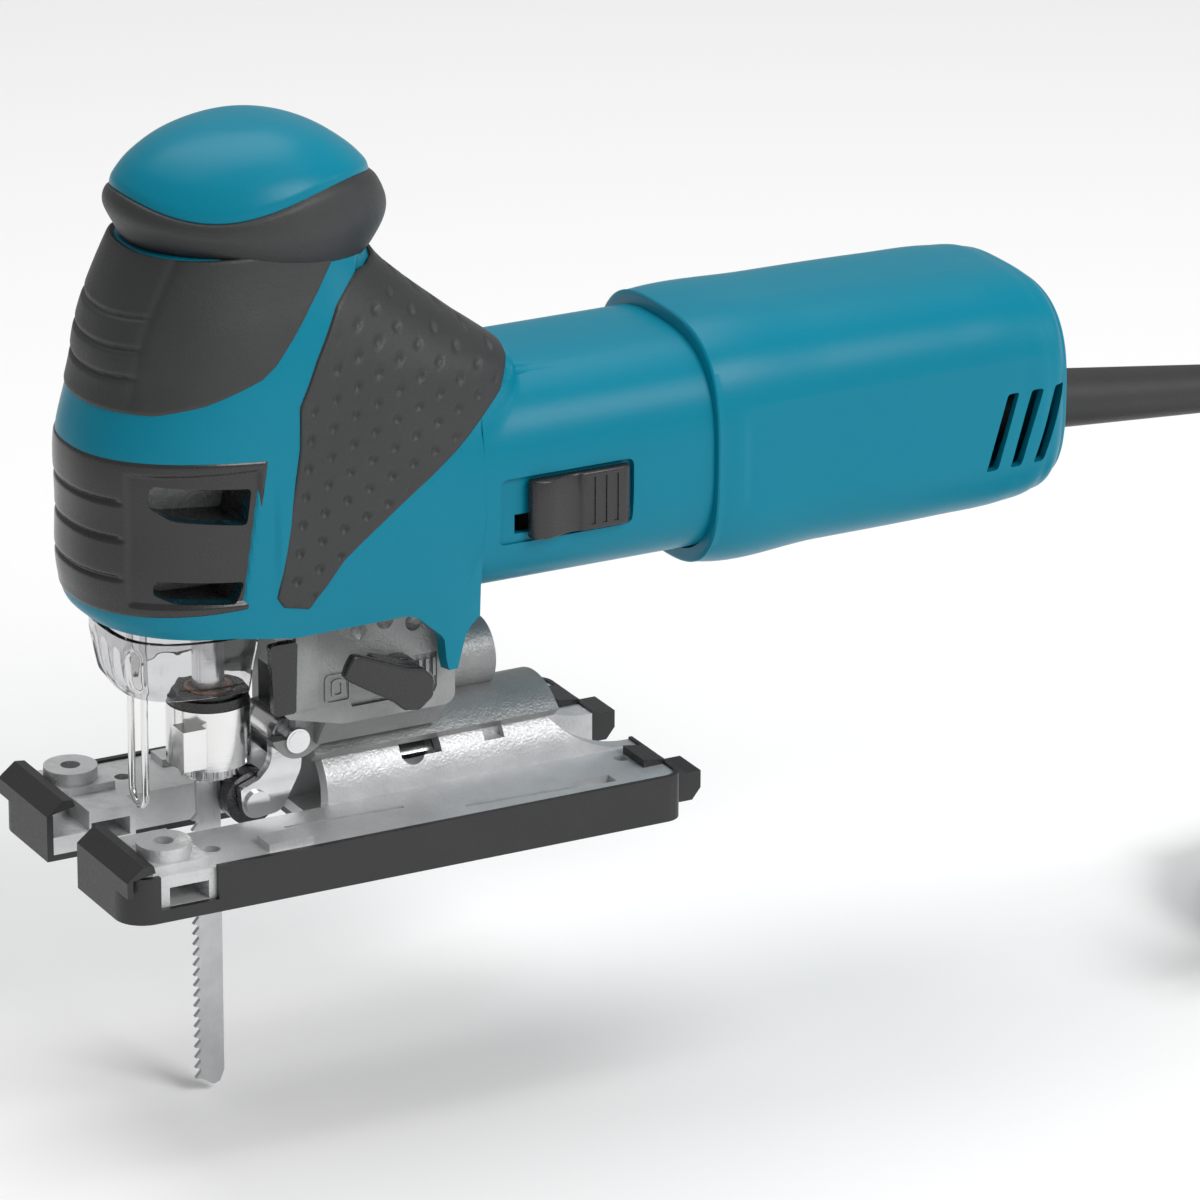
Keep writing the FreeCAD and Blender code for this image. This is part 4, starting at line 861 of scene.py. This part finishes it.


# %% [markdown]
# ### Cord guard, plug and tie
# The guard is a tapered rubber sleeve that stiffens the cord where it leaves the tail. Its line droops a few
# degrees, so the rings are carried along that line.

# %% Cord guard
def along_line(start, step, radius_at, count, per_ring=48, length=1.0):
    """Rings of changing radius along a straight line; radius_at takes the distance from the start."""
    start, step = np.array(start, float), np.array(step, float) / np.linalg.norm(step)
    side = np.cross(step, (0, 1, 0))
    side /= np.linalg.norm(side)
    over = np.cross(step, side)
    s = np.linspace(0, length, count)[:, None]
    t = np.linspace(0, 2 * np.pi, per_ring, endpoint=False)[None]
    r = radius_at(s)
    return start + step * s[..., None] + (side * np.cos(t)[..., None] + over * np.sin(t)[...,
                                                                                         None]) * r[...,
                                                                                                    None]


def make_cord_guard():
    droop = math.radians(5.8)
    step = (math.cos(droop), 0, -math.sin(droop))

    def sleeve(s):
        r = 8.6 - 0.4 * ease((s - 6) / 8) - 2.35 * np.clip((s - 10) / 76, 0, 1)
        return np.where(s < 6.5, 10.6, r)

    outer = along_line((258.0, 0, 81.4), step, sleeve, 260, length=92.2)
    make_piece("cord_sleeve", [(metres(close_tip(outer)), True), (metres(close_tip(outer[:1])), True)],
               "cord_rubber", replaces=("cord_guard",), smooth=50)


make_cord_guard()


# %% Plug, tie and speed dial
def plug_frame():
    """Middle of the plug's cord end, and its two level directions, from the last stretch of the cord."""
    before, end = (around_coil(*p) for p in TAIL_POINTS[-2:])
    ahead = end - before
    ahead[2] = 0
    ahead /= np.linalg.norm(ahead)
    return end, ahead, np.array([-ahead[1], ahead[0], 0])


def make_plug():
    """Rounded oblong rings that swell from the strain relief to the face."""
    end, ahead, beside = plug_frame()
    stations = [(0.0, 4.7, 4.7, 2.0), (0.4, 5.0, 5.0, 2.0), (6, 5.3, 5.3, 2.0), (14, 5.8, 5.8, 2.0),
                (19, 7.2, 6.9, 2.4),
                (24, 9.8, 7.9, 3.2), (31, 11.9, 8.3, 4.2), (42, 12.6, 8.4, 4.6), (48.5, 12.9, 8.4, 4.6),
                (49.6, 12.5, 8.1, 4.6),
                (50.0, 11.6, 7.2, 4.6)]
    s = np.concatenate([np.linspace(0, 0.4, 3), np.linspace(1, 47, 90), np.linspace(47.5, 50, 14)])[:, None]
    wide, tall, n = (through(s, stations, k) for k in (1, 2, 3))
    ribs = 0.45 * (np.cos(s * 2.6) < -0.1) * ease((s - 2.5) / 1) * ease((15 - s) / 1)
    t = np.linspace(0, 2 * np.pi, 88, endpoint=False)[None]
    c, d = np.cos(t), np.sin(t)
    reach = (np.abs(c / (wide - ribs)) ** n + np.abs(d / (tall - ribs)) ** n) ** (-1 / n)
    grid = end + ahead * s[..., None] + beside * (reach * c)[...,
                                                             None] + np.array([0, 0,
                                                                               1.0]) * (reach * d)[...,
                                                                                                   None]
    piece = make_piece("plug_moulding", [(metres(close_tip(grid)), True),
                                         (metres(close_tip(grid[:1])), True)], "cord_rubber",
                       replaces=("plug_body",), smooth=45)
    return piece


plug = make_plug()


def make_tie():
    """A flat strap whose inner outline is the coil's own cross-section, rounded at its corners."""
    inside, outside, top = 31.6 - CORD_R - 0.3, 46.8 + CORD_R + 0.3, 22.9
    loop = rounded([(inside, 0.05), (outside, 0.05), (outside, top + 0.2), (inside, top + 0.2)], 3.6, 8)
    middle = loop.mean(axis=0)
    away = (loop - middle) / np.linalg.norm(loop - middle, axis=1, keepdims=True)
    wall = loop + away * 1.2
    wall[:, 1] = np.maximum(wall[:, 1], 0.02)
    angle = math.radians(125)
    out, across = np.array([math.cos(angle), math.sin(angle)]), np.array([-math.sin(angle),
                                                                          math.cos(angle)])

    def band(profile, side):
        flat = np.array([COIL_X, COIL_Y]) + profile[:, :1] * out + across * side
        return np.column_stack([flat, BENCH + profile[:, 1]])
    rings = np.stack([band(loop, -3.9), band(wall, -3.9), band(wall, 3.9), band(loop, 3.9),
                      band(loop, -3.9)])
    make_piece("cord_strap", [(metres(rings), True)], "dark_plastic", replaces=("cord_tie",))


make_tie()


def make_dial():
    """A thumb wheel: its rim waves in and out twenty-eight times, and its edges are eased."""
    t = np.linspace(0, 2 * np.pi, 336, endpoint=False)[None]
    depth = np.array([-4.0, -4.0, -3.7, -3.0, 0, 3.0, 3.7, 4.0, 4.0])[:, None]
    reach = np.array([0.001, 8.2, 8.7, 9.05, 9.15, 9.05, 8.7, 8.2, 0.001])[:, None]
    wave = 0.38 * np.clip(np.cos(28 * t) * 1.5, -1, 1) * (reach > 8.5)
    r = reach + wave - 0.38 * (reach > 8.5)
    grid = np.stack(np.broadcast_arrays(263.3 + r * np.cos(t), depth, 102.5 + r * np.sin(t)), -1)
    make_piece("dial_wheel", [(metres(grid), True)], "dark_plastic", "dial", ("speed_dial",), smooth=30)


make_dial()


# %% [markdown]
# ### Dust cover
# A smoked clear moulding hangs from the head round the front of the blade drive. Glass needs real thickness, so
# its inner wall is a second grid, set in by the wall, with the rims joined.

# %% Dust cover
def make_dust_cover():
    stations = [(46.6, 15.8, 16.9), (50, 13.6, 18.2), (54.5, 12.4, 19.4), (60, 11.8, 21.6),
                (63.4, 11.7, 22.7)]

    def wall(inset):
        z = np.linspace(46.6, 63.4, 40)[:, None]
        front, half = through(z, stations, 1) + inset, through(z, stations, 2) - inset
        s = np.linspace(-1, 1, 150)[None]
        turn = s * np.pi / 2
        n = 2.9
        reach = (np.abs(np.cos(turn)) ** n + np.abs(np.sin(turn)) ** n) ** (-1 / n)
        x = 43.4 - (43.4 - front) * reach * np.cos(turn)
        flute = 0.35 * np.cos(turn * 22) * ease((z - 48) / 3) * ease((62 - z) / 3) * (np.abs(s) < 0.62)
        return np.stack(np.broadcast_arrays(x - flute * (inset == 0), half * reach * np.sin(turn), z), -1)
    outer, inner = wall(0.0), wall(1.5)
    rims = [np.stack([outer[0], inner[0]]), np.stack([inner[-1], outer[-1]]),
            np.stack([inner[:, 0], outer[:, 0]]), np.stack([outer[:, -1], inner[:, -1]])]
    make_piece("clear_guard", [(metres(outer), False), (metres(inner[::-1]), False)] + [(metres(r),
                                                                                         False) for r in rims],
               "clear_cover", "dust_guard", ("dust_cover",))


make_dust_cover()


# %% [markdown]
# ## Finishes
# Each finish is a Principled BSDF fed by a few shared groups of nodes. `grain` gives a moulded or cast surface
# its fine roughness as a bump and a mask. `tone` varies a colour a little over the piece, as real parts do.
# `brushed` gives the fine parallel marks of rolled or ground steel. Groups put out colours, masks and normals,
# and the shader itself stays in the material, where an exporter can read it.

# %% Shared node groups
def new_group(name, sockets_in, sockets_out):
    group = bpy.data.node_groups.new(name, "ShaderNodeTree")
    for label, kind, value in sockets_in:
        socket = group.interface.new_socket(label, in_out="INPUT", socket_type=kind)
        if value is not None:
            socket.default_value = value
    for label, kind in sockets_out:
        group.interface.new_socket(label, in_out="OUTPUT", socket_type=kind)
    return group, group.nodes.new("NodeGroupInput"), group.nodes.new("NodeGroupOutput")


def node(tree, kind, links=(), **values):
    """A node with its settings, and its inputs either set or linked from another node's output."""
    made = tree.nodes.new("ShaderNode" + kind)
    for key, value in values.items():
        setattr(made, key, value)
    for socket, source in links:
        target = made.inputs[socket]
        if isinstance(source, bpy.types.NodeSocket):
            tree.links.new(source, target)
        else:
            target.default_value = source
    return made


def grain_group():
    """Two sizes of noise added as height; the mask is the finer one, for the roughness."""
    group, start, end = new_group("grain", [("Scale", "NodeSocketFloat", 1800.0),
                                            ("Depth", "NodeSocketFloat", 0.1),
                                            ("Coarse", "NodeSocketFloat", 0.4)],
                                  [("Mask", "NodeSocketFloat"), ("Normal", "NodeSocketVector")])
    place = node(group, "TexCoord").outputs["Object"]
    fine = node(group, "TexNoise", [("Vector", place), ("Scale", start.outputs["Scale"]), ("Detail", 3.0)])
    quarter = node(group, "Math", [(0, start.outputs["Scale"]), (1, 0.23)], operation="MULTIPLY")
    coarse = node(group, "TexNoise", [("Vector", place), ("Scale", quarter.outputs[0]), ("Detail", 2.0)])
    weighed = node(group, "Math", [(0, coarse.outputs["Fac"]), (1, start.outputs["Coarse"])],
                   operation="MULTIPLY")
    total = node(group, "Math", [(0, fine.outputs["Fac"]), (1, weighed.outputs[0])], operation="ADD")
    bump = node(group, "Bump", [("Strength", start.outputs["Depth"]), ("Distance", 0.0004),
                                ("Height", total.outputs[0])])
    group.links.new(fine.outputs["Fac"], end.inputs["Mask"])
    group.links.new(bump.outputs["Normal"], end.inputs["Normal"])
    return group


def tone_group():
    """Blend between two colours by a slow noise, pushed towards its ends."""
    group, start, end = new_group("tone", [("Colour", "NodeSocketColor", (1, 1, 1, 1)),
                                           ("Other", "NodeSocketColor", (1, 1, 1, 1)),
                                           ("Scale", "NodeSocketFloat", 40.0),
                                           ("Amount", "NodeSocketFloat", 0.5)],
                                  [("Colour", "NodeSocketColor"), ("Mask", "NodeSocketFloat")])
    place = node(group, "TexCoord").outputs["Object"]
    noise = node(group, "TexNoise", [("Vector", place), ("Scale", start.outputs["Scale"]), ("Detail", 5.0),
                                     ("Roughness", 0.6)])
    spread = node(group, "MapRange", [("Value", noise.outputs["Fac"]), ("From Min", 0.35),
                                      ("From Max", 0.68)])
    share = node(group, "Math", [(0, spread.outputs["Result"]), (1, start.outputs["Amount"])],
                 operation="MULTIPLY")
    mix = node(group, "Mix", [(0, share.outputs[0]), (6, start.outputs["Colour"]),
                              (7, start.outputs["Other"])], data_type="RGBA")
    group.links.new(mix.outputs[2], end.inputs["Colour"])
    group.links.new(share.outputs[0], end.inputs["Mask"])
    return group


def brushed_group():
    """Noise squeezed along one direction, so that it draws into fine parallel marks."""
    group, start, end = new_group("brushed", [("Squeeze", "NodeSocketVector", (1, 1, 0.02)),
                                              ("Scale", "NodeSocketFloat", 2500.0),
                                              ("Depth", "NodeSocketFloat", 0.05)],
                                  [("Mask", "NodeSocketFloat"), ("Normal", "NodeSocketVector")])
    place = node(group, "TexCoord").outputs["Object"]
    squeezed = node(group, "VectorMath", [(0, place), (1, start.outputs["Squeeze"])], operation="MULTIPLY")
    noise = node(group, "TexNoise", [("Vector", squeezed.outputs[0]), ("Scale", start.outputs["Scale"]),
                                     ("Detail", 4.0)])
    bump = node(group, "Bump", [("Strength", start.outputs["Depth"]), ("Distance", 0.0003),
                                ("Height", noise.outputs["Fac"])])
    group.links.new(noise.outputs["Fac"], end.inputs["Mask"])
    group.links.new(bump.outputs["Normal"], end.inputs["Normal"])
    return group


GROUPS = {"grain": grain_group(), "tone": tone_group(), "brushed": brushed_group()}


# %% One material from its own values
def finish(name, colour, other, metallic=0.0, rough=(0.4, 0.5), texture="grain", scale=1800.0, depth=0.15,
           coarse=0.4,
           squeeze=(1, 1, 0.02), tone_scale=40.0, tone=0.5, specular=0.5, transmission=0.0):
    """Colour by `tone`, roughness between two values by the texture's mask, normal by the texture's bump."""
    material = bpy.data.materials.new(name)
    material.use_nodes = True
    tree = material.node_tree
    shader = tree.nodes["Principled BSDF"]
    toned = node(tree, "Group", node_tree=GROUPS["tone"])
    for socket, value in (("Colour", (*colour, 1)), ("Other", (*other, 1)), ("Scale", tone_scale),
                          ("Amount", tone)):
        toned.inputs[socket].default_value = value
    tree.links.new(toned.outputs["Colour"], shader.inputs["Base Color"])
    surface = node(tree, "Group", node_tree=GROUPS[texture])
    surface.inputs["Scale"].default_value, surface.inputs["Depth"].default_value = scale, depth
    if texture == "brushed":
        surface.inputs["Squeeze"].default_value = squeeze
    else:
        surface.inputs["Coarse"].default_value = coarse
    ramp = node(tree, "MapRange", [("Value", surface.outputs["Mask"]), ("From Min", 0.3), ("From Max", 0.7),
                                   ("To Min", rough[0]), ("To Max", rough[1])])
    tree.links.new(ramp.outputs["Result"], shader.inputs["Roughness"])
    tree.links.new(surface.outputs["Normal"], shader.inputs["Normal"])
    shader.inputs["Metallic"].default_value = metallic
    shader.inputs["Specular IOR Level"].default_value = specular
    shader.inputs["Transmission Weight"].default_value = transmission
    return material


LOOKS = {
    "teal_shell": dict(colour=(0.0, 0.195, 0.29), other=(0.0, 0.21, 0.31), rough=(0.30, 0.38), scale=2600,
        depth=0.06, tone_scale=18, specular=0.2),
    "soft_grip": dict(colour=(0.026, 0.027, 0.028), other=(0.034, 0.035, 0.036), rough=(0.42, 0.56),
        scale=2400, depth=0.22, coarse=0.8, tone_scale=60),
    "dark_plastic": dict(colour=(0.020, 0.020, 0.021), other=(0.026, 0.026, 0.028), rough=(0.22, 0.30),
        scale=2200, depth=0.07, tone_scale=60),
    "cast_aluminium": dict(colour=(0.66, 0.665, 0.67), other=(0.50, 0.505, 0.51), metallic=0.5,
        rough=(0.36, 0.52), scale=1500, depth=0.5, coarse=1.0, tone_scale=90, tone=0.6),
    # a darker copy of cast_aluminium: painted shade for the gear housing in its recess, and for the marks on it
    "cast_painted_shade": dict(colour=(0.33, 0.335, 0.335), other=(0.25, 0.255, 0.255), metallic=0.45,
        rough=(0.36, 0.50), scale=1500, depth=0.5, coarse=1.0, tone_scale=90, tone=0.6, specular=0.3),
    "sole_black": dict(colour=(0.017, 0.017, 0.018), other=(0.024, 0.024, 0.025), rough=(0.36, 0.48),
        scale=1800, depth=0.2, tone_scale=70),
    "clear_cover": dict(colour=(0.70, 0.70, 0.71), other=(0.62, 0.62, 0.63), rough=(0.01, 0.03), scale=400,
        depth=0.02, transmission=1.0, specular=0.25),
    "bright_steel": dict(colour=(0.74, 0.74, 0.75), other=(0.62, 0.62, 0.63), metallic=1.0,
        rough=(0.14, 0.26), texture="brushed", squeeze=(0.05, 0.05, 1), scale=3000, depth=0.05),
    "plated_steel": dict(colour=(0.80, 0.80, 0.79), other=(0.70, 0.70, 0.70), metallic=1.0,
        rough=(0.10, 0.20), texture="brushed", squeeze=(0.04, 0.04, 1), scale=3000, depth=0.05),
    "tool_steel": dict(colour=(0.60, 0.61, 0.62), other=(0.46, 0.47, 0.49), metallic=1.0,
        rough=(0.26, 0.42), texture="brushed", squeeze=(1, 1, 0.03), scale=2600, depth=0.16, tone_scale=120,
        tone=0.6),
    "dark_steel": dict(colour=(0.10, 0.10, 0.105), other=(0.16, 0.16, 0.165), metallic=0.95,
        rough=(0.22, 0.38), texture="brushed", squeeze=(1, 0.04, 1), scale=2600, depth=0.08,
        tone_scale=150),
    "gear_steel": dict(colour=(0.42, 0.42, 0.43), other=(0.30, 0.30, 0.31), metallic=1.0,
        rough=(0.24, 0.36), scale=2000, depth=0.1, tone_scale=90),
    "copper": dict(colour=(0.72, 0.30, 0.13), other=(0.56, 0.20, 0.08), metallic=1.0, rough=(0.22, 0.36),
        texture="brushed", squeeze=(0.05, 1, 1), scale=2400, depth=0.15, tone_scale=160),
    "bronze": dict(colour=(0.55, 0.38, 0.18), other=(0.45, 0.30, 0.14), metallic=1.0, rough=(0.3, 0.45),
        scale=2200, depth=0.2),
    "lamination": dict(colour=(0.30, 0.31, 0.33), other=(0.22, 0.22, 0.24), metallic=0.9, rough=(0.35, 0.5),
        texture="brushed", squeeze=(1, 0.01, 0.01), scale=1600, depth=0.35),
    "carbon": dict(colour=(0.02, 0.02, 0.02), other=(0.035, 0.035, 0.036), metallic=0.2, rough=(0.45, 0.6),
        scale=2500, depth=0.3),
    "board_green": dict(colour=(0.02, 0.16, 0.06), other=(0.03, 0.21, 0.09), rough=(0.3, 0.4), scale=900,
        depth=0.1),
    "inner_plastic": dict(colour=(0.12, 0.12, 0.125), other=(0.15, 0.15, 0.155), rough=(0.4, 0.5),
        scale=1800, depth=0.15),
    "cord_rubber": dict(colour=(0.024, 0.024, 0.025), other=(0.034, 0.034, 0.035), rough=(0.42, 0.56),
        scale=2600, depth=0.25, tone_scale=50),
    "brass_blade": dict(colour=(0.78, 0.66, 0.38), other=(0.68, 0.56, 0.30), metallic=1.0,
        rough=(0.2, 0.32), texture="brushed", squeeze=(0.04, 0.04, 1), scale=2600, depth=0.08),
}
FINISH = {name: finish(name, **look) for name, look in LOOKS.items()}

# %% Dress every piece
# the gear housing is the same casting metal as the base, given a darker copy of its finish as painted shade for
# the recess it sits in
SHADED_COPY = {"gear_housing": "cast_painted_shade"}
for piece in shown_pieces():
    slot = SHADED_COPY.get(piece.name, piece.get("finish")) or piece.get("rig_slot")
    if slot is None:
        slot = piece.material_slots[0].material.name.split(".")[0]
    if not len(piece.data.materials):
        piece.data.materials.append(FINISH[slot])
    for place in piece.material_slots:
        place.material = FINISH[slot]

row(*LEAD_POINTS[0]).tolist()
bpy.context.view_layer.update()
